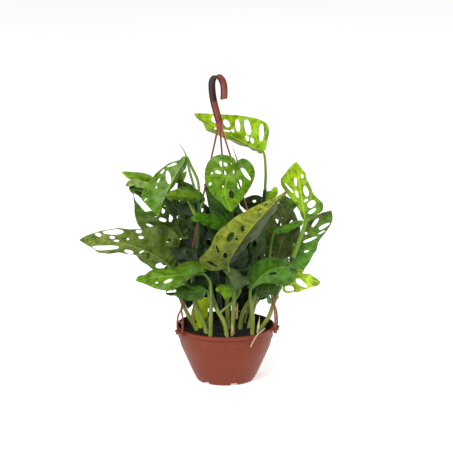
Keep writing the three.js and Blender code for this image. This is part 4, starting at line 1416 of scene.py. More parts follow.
# %% Shoot at the left front
add_shoot("shoot_left_front", soil=[-23, -30], stem=[[211, 316, -34], [211, 297, -44]])
add_leaf(
    base=[203, 273, -69], tip=[137, 280, -97], bow=[0, -1, 0], back=[-14, 26], rows=6,
    via=[[210, 281, -56]], tint=("#44640E", "#76A806", "#578018", "#7BA513"),
    rim=[
        [[200, 275], [188, 277], [183, 284], [170, 289.8], [157, 288], [147, 283.8]],
        [[206.5, 271], [202, 264], [192, 261.5], [173, 268.5], [158, 269.5], [145, 274]],
    ],
    cuts=[[168.5, 280.4, 9, 2.8, -24], [157.2, 281.9, 2.8, 2, 0]],
)
add_leaf(
    base=[207, 290, -50], tip=[166, 292.5, -66], back=[0, 4], starts=0.8,
    tint=("#3A600B", "#416B10"),
    rim=[
        [[205, 294], [198, 299.5], [184, 299], [176, 295.5]],
        [[204, 287], [192, 284], [180, 286], [170, 288.5]],
    ],
    cuts=[[175, 291.6, 3.2, 3, 0]],
)

# %% High shoot on the left
add_shoot(
    "shoot_left_high", soil=[-29, -15],
    stem=[
        [201, 316, -14], [195, 300, -14], [194, 275, -20], [197, 250, -32], [199, 225, -34],
        [200, 200, -32],
    ],
)
add_leaf(
    base=[187, 158, -22], tip=[158, 215.5, -50], bow=[-1.5, -1, 0], back=[26, 12], rows=6,
    via=[[198, 181, -30], [192, 168, -26]], tint=("#578018", "#7BA518", "#7B9B41", "#578612"),
    rim=[
        [[187.5, 161], [186, 166], [182, 175], [176, 183.5], [167, 193], [159.5, 203]],
        [[185, 157], [178.5, 162.6], [164, 167.5], [152, 181], [142, 195.5], [148, 205.5]],
    ],
    cuts=[
        [169.5, 178.4, 12.6, 4.6, 82], [164.2, 172.6, 6, 2.6, -50], [172.6, 166.3, 11, 2.2, -18],
        [160.2, 181.6, 5, 2, -60], [151, 191, 6, 1.8, 75], [156.6, 189.6, 7, 1.4, -58],
        [148, 199.4, 6, 1.4, -48],
    ],
)
add_leaf(
    base=[204, 198.5, -36], tip=[165, 196, -56], back=[-4, 12], rows=3, starts=0.93,
    tint=("#415E06", "#55750D", "#446008", "#769D0B"),
    rim=[
        [[203, 201], [196, 201], [188, 200.3], [178, 199.8], [171, 198.8]],
        [[203, 196], [197, 191.5], [189, 188], [180, 188.8], [172, 193]],
    ],
)
add_leaf(
    base=[190, 199, -12], tip=[179, 179.5, -8], half=17, lean=[20, 10], rows=3, starts=0.85,
    tint=("#324D09", "#3A5A0C"),
)
add_leaf(
    base=[179, 183, -5], tip=[187, 171.5, -2], half=7, lean=[10, 20], rows=2, starts=0.85,
    via=[[186, 196, -7]], tint=("#BAD634", "#E1EB4E"),
)
add_spear(starts=0.97, points=[[190, 172, -18], [186, 155, -14], [177, 140, -12]])

# %% Shoot at the left back
add_shoot("shoot_left_back", soil=[-24, 24], stem=[[196, 296, 30], [190, 262, 36], [185, 244, 38]])
add_leaf(
    base=[182, 237, 38], tip=[130, 190, 54], bow=[6.5, -11.5, 4], back=[10, 8], rows=6,
    tint=("#465E0E", "#558016", "#304706", "#3D5E0B"),
    rim=[
        [[176, 243], [161, 239], [143, 230], [135.5, 217], [134.5, 204], [133.5, 195.5]],
        [[190, 234], [192, 221], [183, 205], [168, 194], [154, 188], [140, 186]],
    ],
    cuts=[
        [146.5, 203.4, 34, 12.5, 47], [158.5, 212.6, 4.4, 3.2, 15], [163.8, 209.6, 8, 3.2, 100],
        [163, 219.6, 7.4, 3.6, 18], [171.5, 216, 12, 4, 100], [178.3, 219.3, 10, 4.4, 110],
        [182.5, 211, 4, 2.4, 90], [150.5, 225.4, 8, 2.8, 22],
    ],
)
add_leaf(
    base=[153, 182, 60], tip=[121.5, 172, 62], bow=[0, -1, 0], back=[6, 2], rows=3, starts=0.9,
    via=[[184, 214, 60], [168, 190, 62]], tint=("#659009", "#83AC15"),
    rim=[
        [[153, 185], [149, 187], [140, 181.8], [133, 180], [127, 177]],
        [[153, 178], [150.8, 175.3], [143, 173], [134, 172.2], [128, 171.9]],
    ],
)
add_leaf(
    base=[151, 189, 50], tip=[125.5, 185.5, 54], bow=[0, -3.4, 0], back=[4, 4], rows=3, starts=0.9,
    via=[[180, 214, 50], [166, 196, 50]], tint=("#8CA54D", "#A9BD64"),
    rim=[
        [[150, 191], [144, 188.6], [137, 185.6], [132, 183.4]],
        [[151, 187], [146, 182], [137, 179.3], [129.5, 181]],
    ],
)
add_leaf(
    base=[201, 264, 29], tip=[170, 240, 27], half=33, lean=[10, 14], starts=0.55,
    tint=("#1A2708", "#23350B"),
)
add_leaf(
    base=[147, 197, 72], tip=[129, 184, 74], back=[2, 4], rows=3, starts=0.8,
    via=[[178, 222, 72], [162, 206, 72]], tint=("#3A5406", "#44620B"),
    rim=[
        [[145, 198], [140, 196.5], [135, 193.5], [130, 190]],
        [[147, 194], [144, 189], [138, 185], [133, 183]],
    ],
)

print("shoots so far:", len(SHOOTS))

# %% [markdown]
# Of the four shoots in the middle, one carries the highest leaf on a long bare stalk
# and one the heart-shaped leaf that faces the front. The third has the large olive
# leaf that crosses the plant, and the last stays low.

# %% Shoot with the highest leaf
add_shoot(
    "shoot_top", soil=[40, 34], young=True,
    stem=[[251, 300, 48], [256, 262, 58], [261, 225, 60], [265, 190, 56]],
)
add_leaf(
    base=[263, 152, 56], tip=[194.5, 113.5, 66], bow=[0, 2.2, 0], back=[24, 10], rows=6,
    via=[[265.5, 170, 54]], tint=("#86A50E", "#97B61A", "#95C109", "#B4D40D"),
    rim=[
        [[261.5, 153], [255, 149], [244, 144.5], [228, 138], [213, 133], [203, 123.5]],
        [[265, 151], [267.5, 140], [268.4, 127], [259, 119.7], [240, 116], [217, 114.5]],
    ],
    cuts=[
        [261.3, 132.8, 17.6, 4.8, 92], [247.5, 127.6, 15.6, 6.4, 78], [237.6, 125.9, 12.4, 4.6, 82],
        [226.5, 123.8, 8.6, 5.6, 55], [215.3, 120, 8.4, 6.6, 20], [247.2, 138.6, 6, 3.2, 70],
        [252, 140.9, 6, 3.2, 72], [232.6, 131, 4, 2.8, 55], [226.6, 131.2, 8, 2, 8],
        [216.4, 128, 3, 2, 0],
    ],
)
add_leaf(
    base=[263, 199, 66], tip=[277.5, 187.5, 74], back=[6, 2], rows=3, starts=0.84,
    tint=("#95C503", "#A4D604"),
    rim=[
        [[262.5, 197], [265.5, 193.6], [270.5, 192.3], [274.5, 190]],
        [[264, 200.5], [269, 200], [274, 198], [277.8, 193.5]],
    ],
)
add_leaf(
    base=[268, 213, 66], tip=[239, 202, 78], back=[8, 10], starts=0.7, tint=("#2C4708", "#365809"),
    rim=[
        [[266, 217], [257, 216], [249, 212], [243, 207]],
        [[269, 209], [266, 200.5], [257, 195.2], [246, 197.5]],
    ],
    cuts=[[254.6, 201.5, 3.6, 2.6, -15], [252, 208.6, 5.6, 2, -22]],
)
add_leaf(
    base=[259, 247, 84], tip=[244, 214, 92], half=26, lean=[12, 20], starts=0.55,
    tint=("#182006", "#203209"),
)

# %% Shoot with the heart-shaped leaf
add_shoot(
    "shoot_heart", soil=[4, 6],
    stem=[[227, 300, 0], [229, 262, -12], [231, 225, -22], [233, 190, -28]],
)
add_leaf(
    base=[236, 166.5, -30], tip=[232, 212, -84], bow=[-9, -0.5, -6], back=[10, 12], rows=6,
    tint=("#658C16", "#709D09", "#699012", "#67950D"),
    rim=[
        [[237, 164.5], [240, 161.3], [249.5, 162], [254.5, 175], [249.5, 188.5], [240, 202]],
        [[235.5, 163.5], [228.5, 156], [211, 159.8], [204.8, 177], [212.5, 195], [224, 205]],
    ],
    cuts=[
        [234, 173.4, 4.4, 2.4, 80], [239.2, 185.8, 9, 4.4, 95], [245.4, 175.8, 14.6, 4, 52],
        [231, 195.7, 8, 4.4, 78], [221, 165.7, 6, 3, 62], [225, 166.2, 4.4, 3, 30],
        [231.4, 165, 2.2, 1.8, 0], [218.5, 174, 6, 2.8, 15], [224.6, 174, 4.6, 2.8, 55],
        [212.2, 174.8, 2, 2.4, 100], [211.6, 186.2, 3.4, 2.8, -40], [223.9, 187.4, 2.4, 2.2, 0],
    ],
)
add_leaf(
    base=[227, 223, -34], tip=[191.5, 218, -58], back=[-2, 3], starts=0.7,
    tint=("#3A6408", "#55880D"),
    rim=[
        [[225, 228.5], [217, 229.8], [208, 226], [200, 222.6]],
        [[225, 219], [217, 216], [206, 213.8], [197, 213.8]],
    ],
)
add_leaf(
    base=[222, 232, 14], tip=[233, 186, 18], half=27, lean=[-4, 4], starts=0.62,
    tint=("#111B04", "#192A08"),
)
add_spear(starts=0.96, points=[[238, 168, -17], [231, 143, -15]])

# %% Shoot with the olive leaf
add_shoot("shoot_olive", soil=[11, -22], stem=[[233, 316, -30], [234, 298, -44], [232, 280, -58]])
add_leaf(
    base=[228, 262, -74], tip=[287, 190, -98], bow=[-6, 1, -4], back=[-10, 34], rows=7,
    via=[[229, 271, -66]], tint=("#55620D", "#9EA524", "#203206", "#4C5C15"),
    rim=[
        [
            [225, 267], [212, 270], [199.5, 260.5], [208.5, 248.5], [217, 233.5], [234, 217.5],
            [258, 205],
        ],
        [[229, 265], [233, 261], [243, 249], [256, 236], [267, 221], [276, 205]],
    ],
    cuts=[
        [230.2, 235.6, 10.6, 5.6, 122], [236.6, 238.2, 3, 2.4, 45], [242.2, 227.8, 6.2, 4, 82],
        [225, 254.3, 6.2, 4.4, 82], [217.2, 247.6, 9, 1.8, 72], [212, 262, 11, 2.2, 24],
        [258.6, 209.3, 5, 1.2, -32], [265, 204.2, 5, 1.2, -48],
    ],
)
add_leaf(
    base=[248, 281.5, -58], tip=[222.5, 267, -70], back=[1, 4], rows=3, starts=0.95,
    via=[[241, 284, -56]], tint=("#445627", "#53642F"),
    rim=[
        [[244.5, 283.5], [236.5, 288.5], [231, 280], [227, 274]],
        [[247.5, 278.5], [242, 275], [236, 271], [229.5, 266.8]],
    ],
)

# %% Low shoot in the middle
add_shoot(
    "shoot_low_centre", soil=[2, -31],
    stem=[[224, 322, -30], [216, 307, -26], [211, 290, -14], [206, 270, -2]],
)
add_leaf(
    base=[240, 288.5, -26], tip=[215.5, 289, -44], back=[-4, 4], starts=0.4, via=[[236, 298, -22]],
    tint=("#659509", "#74A10E"),
    rim=[
        [[238, 292], [231, 294], [225.5, 300], [221, 293]],
        [[239, 286], [232, 286.6], [224, 285.4], [218.5, 286]],
    ],
)
add_leaf(
    base=[204, 252, -8], tip=[210, 206, -8], half=28, lean=[16, 10], tint=("#121D04", "#192A08"),
)

print("shoots so far:", len(SHOOTS))

# %% [markdown]
# On the right are a tall shoot with two pale leaves, a young one that is still
# yellow-green, one whose broad leaf arches over the rim, and a dark one behind them.

# %% High shoot on the right
add_shoot(
    "shoot_right_high", soil=[54, 6],
    stem=[[269, 316, 6], [277, 293, 4], [287, 270, 0], [293, 257, -4]],
)
add_leaf(
    base=[305, 222, -8], tip=[295.5, 162.5, -22], bow=[0, 0, -4], back=[10, 8], stalk=3, rows=6,
    via=[[300, 237, -6]], tint=("#76A120", "#B8DA0B", "#679024", "#A9C90E"),
    rim=[
        [[303, 215], [299, 204], [290, 193], [280, 182], [285.5, 173], [291, 166]],
        [[310, 219], [317, 214], [322.5, 204.5], [312, 193.5], [306.5, 179.5], [301, 169.5]],
    ],
    cuts=[
        [289.4, 187.6, 13, 2.8, 48], [297, 194, 8, 2.2, 76], [295.8, 182, 8.6, 2.4, 86],
        [300.4, 176.4, 4.2, 2, 88], [304.2, 191, 11, 4.2, 78], [304.6, 200.2, 4.6, 2.6, -45],
        [310, 203.6, 9, 6.4, -42], [311, 210.6, 9, 3.4, -35],
    ],
)
add_leaf(
    base=[290, 264, 6], tip=[331, 210.5, 12], bow=[-4.5, -1, 0], back=[6, 12], rows=6, starts=0.85,
    tint=("#60712F", "#7B8A3B", "#579704", "#5C7E24"),
    rim=[
        [[290, 258], [294, 250], [299, 240], [303.5, 229], [309, 219.5], [320.5, 213.3]],
        [[291, 269], [294, 280], [304.5, 267.5], [313.5, 254], [318, 242], [330.5, 223.5]],
    ],
    cuts=[
        [315, 222.6, 10.6, 3.4, -55], [305.8, 233.2, 2.6, 2.6, 0], [323.4, 225.6, 12.6, 3.6, -28],
        [320.7, 231.6, 8, 2, -22], [309.5, 239, 14.6, 2.8, -24], [305.7, 250.7, 4.6, 2.4, -20],
        [297.2, 270, 3, 3.2, 0],
    ],
)

# %% Low young shoot on the right
add_shoot(
    "shoot_right_low", soil=[22, 6], young=True,
    stem=[[243, 312, 2], [252, 298, -12], [266, 290, -28]],
)
add_leaf(
    base=[284, 280, -38], tip=[319.5, 282.5, -60], bow=[0, -3.6, 0], back=[4, 4], rows=5,
    tint=("#A7C322", "#B8D227"),
    rim=[
        [[284, 276], [290, 271], [299, 270], [306, 273], [313, 277.3]],
        [[283, 284], [283.5, 290.8], [293, 292], [303, 289], [312, 286]],
    ],
    cuts=[[301.3, 282, 13.4, 5, 33], [289.6, 287.4, 9, 5.6, 12], [303.6, 273.2, 6.4, 1.6, 22]],
)

# %% Shoot at the right front
add_shoot("shoot_front_right", soil=[41, -18], stem=[[252.5, 318, -22], [250, 296, -36]])
add_leaf(
    base=[250.5, 289, -50], tip=[296, 268, -82], bow=[-3, -9, -6], back=[12, -6], rows=6,
    tint=("#3B6212", "#4F791B", "#578422", "#4A7515"),
    rim=[
        [[248.5, 286], [247.5, 276.5], [254, 264.8], [267, 258], [281, 258.7], [291, 263.5]],
        [[253, 288], [258, 282.3], [266, 280.8], [277, 283.8], [288, 284], [295.5, 276]],
    ],
    cuts=[[258.4, 265.4, 2.2, 1.4, -35], [272.6, 272.6, 8.6, 2.4, -8]],
)
add_leaf(
    base=[256, 292, -36], tip=[277, 289, -46], back=[6, 3], starts=0.75,
    tint=("#304D13", "#3D6015"),
    rim=[
        [[256, 287], [262, 281.5], [270, 281.5], [276, 285]],
        [[258, 296], [264, 296], [271, 293.5], [275, 291]],
    ],
)

# %% Shoot at the right back
add_shoot("shoot_right_back", soil=[36, 20], stem=[[256, 300, 26], [264, 280, 30], [271, 268, 31]])
add_leaf(
    base=[276, 260, 28], tip=[286, 204, 26], bow=[3, 0, 0], back=[8, 8], rows=6,
    tint=("#515C22", "#4F5E22", "#4A5622", "#485A22"),
    rim=[
        [[273, 260], [263, 259], [256.5, 244], [256, 228], [263, 213], [274, 204]],
        [[279, 260.5], [289, 260.5], [296.5, 247], [300, 233], [297, 219], [292, 209]],
    ],
    cuts=[
        [263.4, 253.6, 6.2, 2.8, 55], [268.3, 246.7, 4.6, 2.2, 80], [272.8, 251.3, 4.4, 3.2, 60],
        [291.5, 243.7, 5, 4, 92], [287.3, 257.3, 4.8, 2.2, 0], [282.4, 256.6, 2.6, 1.8, -10],
        [278.6, 221.9, 8.6, 3, 55], [290, 221.6, 5, 2.2, -60], [281.6, 216.8, 2, 1.8, 0],
    ],
)
add_leaf(
    base=[282, 213, 46], tip=[299.5, 203, 36], back=[4, -2], starts=0.95, via=[[276, 240, 50]],
    tint=("#3A580D", "#5C802A"),
    rim=[
        [[280, 210], [279.5, 201], [284, 194.5], [291, 199.3]],
        [[281, 217], [285, 217.5], [290, 214], [295, 208]],
    ],
)
add_leaf(
    base=[275, 231, 18], tip=[303.5, 221, 6], bow=[0, 1, 0], back=[3, 0], via=[[270, 250, 22]],
    tint=("#4A8008", "#60930E"),
    rim=[
        [[277, 228], [285, 227.3], [292, 223.8], [298, 221.2]],
        [[277, 233.5], [284, 233], [291, 229.5], [298, 226]],
    ],
)

print("shoots so far:", len(SHOOTS))

# %% [markdown]
# Three shoots stand behind, out of reach of the front view. Their leaves have the usual
# outline and are spread so that the plant looks full from behind as well.

# %% Rear shoot on the left
add_shoot("shoot_rear_left", soil=[-34, 44], stem=[[205, 290, 62], [206, 262, 74], [205, 240, 80]])
add_leaf(
    base=[203, 236, 86], tip=[183, 190, 100], half=34, lean=[10, 20], holes=["0100", "0020"],
    tint=("#345412", "#467116"),
)
add_leaf(
    base=[196, 264, 84], tip=[160, 272, 118], half=32, lean=[-40, 40], holes=["0020", "0020"],
    starts=0.7, tint=("#365C10", "#487313"),
)

# %% Rear shoot in the middle
add_shoot("shoot_rear_middle", soil=[2, 48], stem=[[228, 290, 74], [226, 262, 88], [226, 240, 92]])
add_leaf(
    base=[226, 238, 104], tip=[228, 192, 118], half=36, lean=[16, 16], tint=("#304D10", "#3F6613"),
)
add_leaf(
    base=[232, 262, 110], tip=[246, 270, 190], half=36, lean=[-10, 10], from_above=True,
    holes=["0320", "0320"], starts=0.8, tint=("#467515", "#65951B"),
)
add_leaf(
    base=[226, 288, 94], tip=[213, 254, 90], half=34, lean=[14, 16], starts=0.5,
    tint=("#20360D", "#2B470C"),
)

# %% Rear shoot on the right
add_shoot(
    "shoot_rear_right", soil=[32, 46],
    stem=[[249, 308, 54], [256, 290, 84], [262, 272, 96], [266, 256, 100]],
)
add_leaf(
    base=[271, 252, 104], tip=[297, 232, 118], half=30, lean=[14, 24], holes=["0100", "0020"],
    tint=("#3B5C15", "#4C771A"),
)
add_leaf(
    base=[262, 284, 104], tip=[282, 288, 150], half=32, lean=[20, -40], holes=["0220", "0220"],
    starts=0.7, tint=("#416B15", "#5E8E22"),
)
add_leaf(
    base=[254, 296, 66], tip=[249, 256, 72], half=27, lean=[10, 10], starts=0.35,
    tint=("#20360D", "#2B470C"),
)

print("shoots so far:", len(SHOOTS))

# %% [markdown]
# Inside a real plant many leaves fill the gaps between the stems, deep in shade. Four
# more shoots stand for them. They have no solid of their own, so they replace none, and
# most of their leaves share one near-black tint, which is painted shade.

# %% Inner shoot on the left
# Near-black tint of the inner leaves: painted shade
INNER_SHADE_TINT = ("#0E1A06", "#14240A")

add_shoot(
    "inner_left", soil=[-26, 36], inner=True,
    stem=[[204, 306, 36], [205, 286, 38], [206, 262, 40]],
)
add_leaf(base=[200, 254, 40], tip=[189, 291, 44], half=34, lean=[8, 8])
add_leaf(base=[214, 262, 42], tip=[205, 296, 46], half=30, lean=[8, 8], starts=0.8)
add_leaf(base=[206, 292, 42], tip=[201, 315, 42], half=17, lean=[6, 6], rows=3, starts=0.4)
add_leaf(base=[190, 288, 40], tip=[188, 309, 42], half=16, lean=[6, 6], rows=3, starts=0.4)

# %% Inner shoot at the front
add_shoot(
    "inner_front", soil=[-6, -8], inner=True,
    stem=[[220, 306, -12], [218, 284, -18], [216, 262, -24]],
)
add_leaf(
    base=[203, 265, -48], tip=[168, 247, -44], half=20, lean=[10, 14], holes=["0120", "0110"],
    tint=("#26341A", "#2E4020"),
)
add_leaf(
    base=[218, 262, -26], tip=[212, 222, -14], half=26, lean=[10, 12], holes=["0120", "0210"],
    starts=0.95, tint=("#1A2E08", "#26440C"),
)
add_leaf(
    base=[236, 228, -20], tip=[204, 184, -8], half=24, lean=[12, 10], holes=["0100", "0110"],
    via=[[226, 246, -22]], tint=("#33580C", "#3E6C12"),
)
add_leaf(
    base=[206, 222, -10], tip=[172, 203, 2], half=22, lean=[10, 10], holes=["0220", "0210"],
    via=[[212, 240, -18]], tint=("#1E340A", "#284408"),
)
add_leaf(
    base=[236, 264, -34], tip=[243, 238, -36], half=17, lean=[10, 16], holes=["0100", "0100"],
    via=[[226, 268, -30]], tint=("#22380E", "#2A4812"),
)
add_leaf(
    base=[252, 266, -20], tip=[264, 222, -6], half=15, lean=[14, 14], holes=["0220", "0220"],
    via=[[236, 270, -26]], tint=("#2E4C18", "#3C5A26"),
)
add_leaf(
    base=[212, 276, -24], tip=[190, 286, -20], half=14, lean=[10, 10], holes=["0100", "0100"],
    starts=0.8, tint=("#22380E", "#2C4612"),
)

# %% Inner shoot in the middle
add_shoot(
    "inner_middle", soil=[4, 44], inner=True,
    stem=[[229, 306, 46], [230, 286, 48], [232, 262, 50]],
)
add_leaf(base=[226, 250, 48], tip=[225, 292, 50], half=36, lean=[8, 8])
add_leaf(base=[243, 252, 50], tip=[241, 293, 52], half=30, lean=[8, 8], starts=0.9)
add_leaf(base=[220, 290, 52], tip=[222, 316, 52], half=24, lean=[6, 6], rows=3, starts=0.4)
add_leaf(base=[240, 289, 52], tip=[243, 314, 52], half=22, lean=[6, 6], rows=3, starts=0.5)

# %% Inner shoot on the right
add_shoot(
    "inner_right", soil=[34, 44], inner=True,
    stem=[[252, 306, 44], [255, 284, 46], [257, 268, 48]],
)
add_leaf(base=[262, 264, 48], tip=[254, 292, 50], half=30, lean=[8, 8])
add_leaf(base=[256, 286, 48], tip=[250, 312, 50], half=15, lean=[6, 6], rows=3, starts=0.6)
print("shoots in all:", len(SHOOTS))


# %% [markdown]
# ## Leaf and stem finishes
#
# A leaf is waxy above. Its roughness is about 0.36, so a light draws a soft sheen on it,
# and its IOR is 1.4, the lower end for a living skin. The specular level is lowered,
# because white paper all round would grey the green. A little light passes through the
# tissue, which subsurface scattering gives. The veins are stored on the mesh as rows, so
# whole rows are the pale side veins, quarters of a row the finest ones, and a reach of 0
# is the midrib. The veins are only a paler shade of the leaf's own tint.

# %% Waxy leaf
MOTTLE_SIZE = 11
TISSUE_SIZE = 1.4
VEIN_BRIGHTNESS = (1.75, 1.6, 2.6, 1.0)
VEIN_SPACING = 0.5
VEINLET_SPACING = 0.125

leaf_skin, tree, shader = new_material(
    "waxy leaf", IOR=1.4, Specular_IOR_Level=0.3, Subsurface_Weight=0.12,
    Subsurface_Radius=(0.6, 1.0, 0.25), Subsurface_Scale=2 * MM,
)
position = add_node(tree, "ShaderNodeTexCoord", output="Object")
tint = add_node(tree, "ShaderNodeAttribute", output="Color", attribute_name="tint")
veins = add_node(tree, "ShaderNodeUVMap", uv_map="veins")
row = add_node(tree, "ShaderNodeSeparateXYZ", {"Vector": veins}, output="X")
reach = row.node.outputs["Y"]
# PINGPONG gives how far a row is from the nearest vein
from_vein = add_node(tree, "ShaderNodeMath", {0: row, 1: VEIN_SPACING}, operation="PINGPONG")
from_veinlet = add_node(tree, "ShaderNodeMath", {0: row, 1: VEINLET_SPACING}, operation="PINGPONG")
side_vein = add_node(tree, "ShaderNodeMapRange", {
    "Value": from_vein, "From Min": 0.0, "From Max": 0.06, "To Min": 0.28, "To Max": 0.0,
})
veinlet = add_node(tree, "ShaderNodeMapRange", {
    "Value": from_veinlet, "From Min": 0.0, "From Max": 0.03, "To Min": 0.08, "To Max": 0.0,
})
midrib = add_node(tree, "ShaderNodeMapRange", {
    "Value": reach, "From Min": 0.012, "From Max": 0.04, "To Min": 0.6, "To Max": 0.0,
})

# %% [markdown]
# Cells of tissue between the veins are about 11 mm across, some of them a deeper green.
# The same pattern varies the wax, and the fine tissue of 1.4 mm gives a low relief in
# which the side veins are sunk.

# %% Colour, wax and relief of the leaf
mottle = add_node(tree, "ShaderNodeTexNoise", {
    "Vector": position, "Scale": 1 / (MOTTLE_SIZE * MM), "Detail": 4.0, "Roughness": 0.6,
})
patch = add_node(tree, "ShaderNodeMapRange", {"Value": mottle, "From Min": 0.36, "From Max": 0.66})
deep = add_node(tree, "ShaderNodeMix", {
    "Factor": 1.0, "A": tint, "B": linear("#98A67E"),
}, data_type="RGBA", blend_type="MULTIPLY")
pale = add_node(tree, "ShaderNodeMix", {
    "Factor": 1.0, "A": tint, "B": VEIN_BRIGHTNESS,
}, data_type="RGBA", blend_type="MULTIPLY")
colour = add_node(tree, "ShaderNodeMix", {"Factor": patch, "A": deep, "B": tint}, data_type="RGBA")
for amount in (veinlet, side_vein, midrib):
    colour = add_node(tree, "ShaderNodeMix", {
        "Factor": amount, "A": colour, "B": pale,
    }, data_type="RGBA")
wax = add_node(tree, "ShaderNodeMapRange", {
    "Value": mottle, "From Min": 0.3, "From Max": 0.7, "To Min": 0.3, "To Max": 0.46,
})
tissue = add_node(tree, "ShaderNodeTexNoise", {
    "Vector": position, "Scale": 1 / (TISSUE_SIZE * MM), "Detail": 2.0,
})
relief = add_node(tree, "ShaderNodeMath", {0: tissue, 1: side_vein}, operation="SUBTRACT")
bump = add_node(tree, "ShaderNodeBump", {"Height": relief, "Strength": 0.35, "Distance": 0.4 * MM})
tree.links.new(colour, shader.inputs["Base Color"])
tree.links.new(wax, shader.inputs["Roughness"])
tree.links.new(bump, shader.inputs["Normal"])

# %% [markdown]
# Stems and stalks are fleshy and smooth, with fine pale fibres along them 1.3 mm apart
# and a few brown scars some 7 mm long. Their tint is stored on them.

# %% Fleshy stem
FIBRE_LENGTHENING = 0.12
FIBRE_SIZE = 1.3
SCAR_SIZE = 7

stem_skin, tree, shader = new_material(
    "fleshy green stem", Roughness=0.4, IOR=1.4, Specular_IOR_Level=0.35, Subsurface_Weight=0.1,
    Subsurface_Radius=(0.8, 1.0, 0.4), Subsurface_Scale=2 * MM,
)
position = add_node(tree, "ShaderNodeTexCoord", output="Object")
tint = add_node(tree, "ShaderNodeAttribute", output="Color", attribute_name="tint")
lengthwise = add_node(tree, "ShaderNodeMapping", {
    "Vector": position, "Scale": (1, 1, FIBRE_LENGTHENING),
})
streaks = add_node(tree, "ShaderNodeTexNoise", {
    "Vector": lengthwise, "Scale": 1 / (FIBRE_SIZE * MM), "Detail": 3.0,
})
scars = add_node(tree, "ShaderNodeTexNoise", {
    "Vector": position, "Scale": 1 / (SCAR_SIZE * MM), "Detail": 5.0,
})
scar = add_node(tree, "ShaderNodeMapRange", {
    "Value": scars, "From Min": 0.66, "From Max": 0.74, "To Max": 0.5,
})
shade = add_node(tree, "ShaderNodeMix", {
    "Factor": 1.0, "A": tint, "B": linear("#C2C8A6"),
}, data_type="RGBA", blend_type="MULTIPLY")
fleshy = add_node(tree, "ShaderNodeMix", {"Factor": streaks, "A": shade, "B": tint}, data_type="RGBA")
colour = add_node(tree, "ShaderNodeMix", {
    "Factor": scar, "A": fleshy, "B": linear("#5E4A2A"),
}, data_type="RGBA")
bump = add_node(tree, "ShaderNodeBump", {"Height": streaks, "Strength": 0.3, "Distance": 0.3 * MM})
tree.links.new(colour, shader.inputs["Base Color"])
tree.links.new(bump, shader.inputs["Normal"])

# %% [markdown]
# Dry sheaths and air roots are papery and beige, with brown fibres 0.9 mm apart along
# them. Paper-dry skin has no wax left, so it is rough.

# %% Dry sheath
DRY_LENGTHENING = 0.2
DRY_FIBRE_SIZE = 0.9

dry_skin, tree, shader = new_material("dry papery sheath", Roughness=0.75, IOR=1.45)
position = add_node(tree, "ShaderNodeTexCoord", output="Object")
lengthwise = add_node(tree, "ShaderNodeMapping", {
    "Vector": position, "Scale": (1, 1, DRY_LENGTHENING),
})
fibres = add_node(tree, "ShaderNodeTexNoise", {
    "Vector": lengthwise, "Scale": 1 / (DRY_FIBRE_SIZE * MM), "Detail": 4.0,
})
colour = add_node(tree, "ShaderNodeMix", {
    "Factor": fibres, "A": linear("#8E6A42"), "B": linear("#E2C79A"),
}, data_type="RGBA")
bump = add_node(tree, "ShaderNodeBump", {"Height": fibres, "Strength": 0.5, "Distance": 0.3 * MM})
tree.links.new(colour, shader.inputs["Base Color"])
tree.links.new(bump, shader.inputs["Normal"])

# %% [markdown]
# ## Growing the shoots
#
# Every part of a shoot is made in its place and gets its finish, and the parts are then
# joined into one mesh that stands for the shoot's solid. A stem is yellow-green at the
# soil and darker above, and its pale lower end is partly its own colour and partly
# painted light. The stems and stalks inside the plant are near black all over, which is
# painted shade, and an inner shoot stands for no solid.

# %% Growing the shoots
FIRST_SEED = 100
# Pale yellow-green at the soil, partly the stems' own colour and partly painted light
STEM_TINTS = ("#C8D46E", "#33501A")
# Painted shade: the stems inside the plant are near black
INNER_STEM_SHADE_TINTS = ("#26361A", "#1A2C0E")
STALK_TINT = "#7A9A3C"
SPEAR_TINTS = ("#4C7A28", "#8FA870")
STEM_FADE = 105
SOFT_DEG = 50


def grow(shoot, luck):
    """The stem, stalks, blades and rolled leaves of a shoot, with their finishes."""
    inner = shoot.get("inner", False)
    foot = Vector((*shoot["soil"], SOIL_CROWN - 2))
    route = [foot] + [seen(spot) for spot in shoot["stem"]]
    stem = stem_rod([foot - Vector((0, 0, PEG_DEPTH))] + route)
    paint(stem, *(INNER_STEM_SHADE_TINTS if inner else STEM_TINTS), fade=STEM_FADE)
    finish_with(stem, stem_skin)
    parts = [stem]
    for leaf in shoot["leaves"]:
        leaf.setdefault("tint", INNER_SHADE_TINT)
        stalk = stalk_rod(leaf, path_point(route, leaf.get("starts", 1)))
        paint(stalk, leaf["tint"][0] if inner else STALK_TINT, leaf["tint"][0])
        finish_with(stalk, stem_skin)
        blade = blade_mesh("blade", leaf, luck)
        finish_with(blade, leaf_skin)
        parts += [blade, stalk]
    for spear in shoot["spears"]:
        start = path_point(route, spear["starts"])
        roll = rolled_leaf([start] + [seen(spot) for spot in spear["points"]])
        paint(roll, *SPEAR_TINTS)
        finish_with(roll, stem_skin)
        parts.append(roll)
    return parts


def join_smooth(name, parts):
    """One mesh of all parts, smooth but for its sharp edges."""
    whole = join(name, parts)
    select_only(whole)
    bpy.ops.object.shade_smooth_by_angle(angle=math.radians(SOFT_DEG))
    return whole


for number, shoot in enumerate(SHOOTS):
    whole = join_smooth("leafy_" + shoot["name"], grow(shoot, random.Random(FIRST_SEED + number)))
    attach(whole, "root")
    if not shoot.get("inner"):
        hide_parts(shoot["name"])
    print(whole.name, "faces:", len(whole.data.polygons))

# %% [markdown]
# ## Dry sheaths, the air root and a sprout
#
# Old sheaths stand dry beside the stems, and one air root creeps over the rim. They are
# rods that taper to a point, and the root is a little knotty. A pale sprout that has
# just come up beside the root is rolled like the other young leaves.

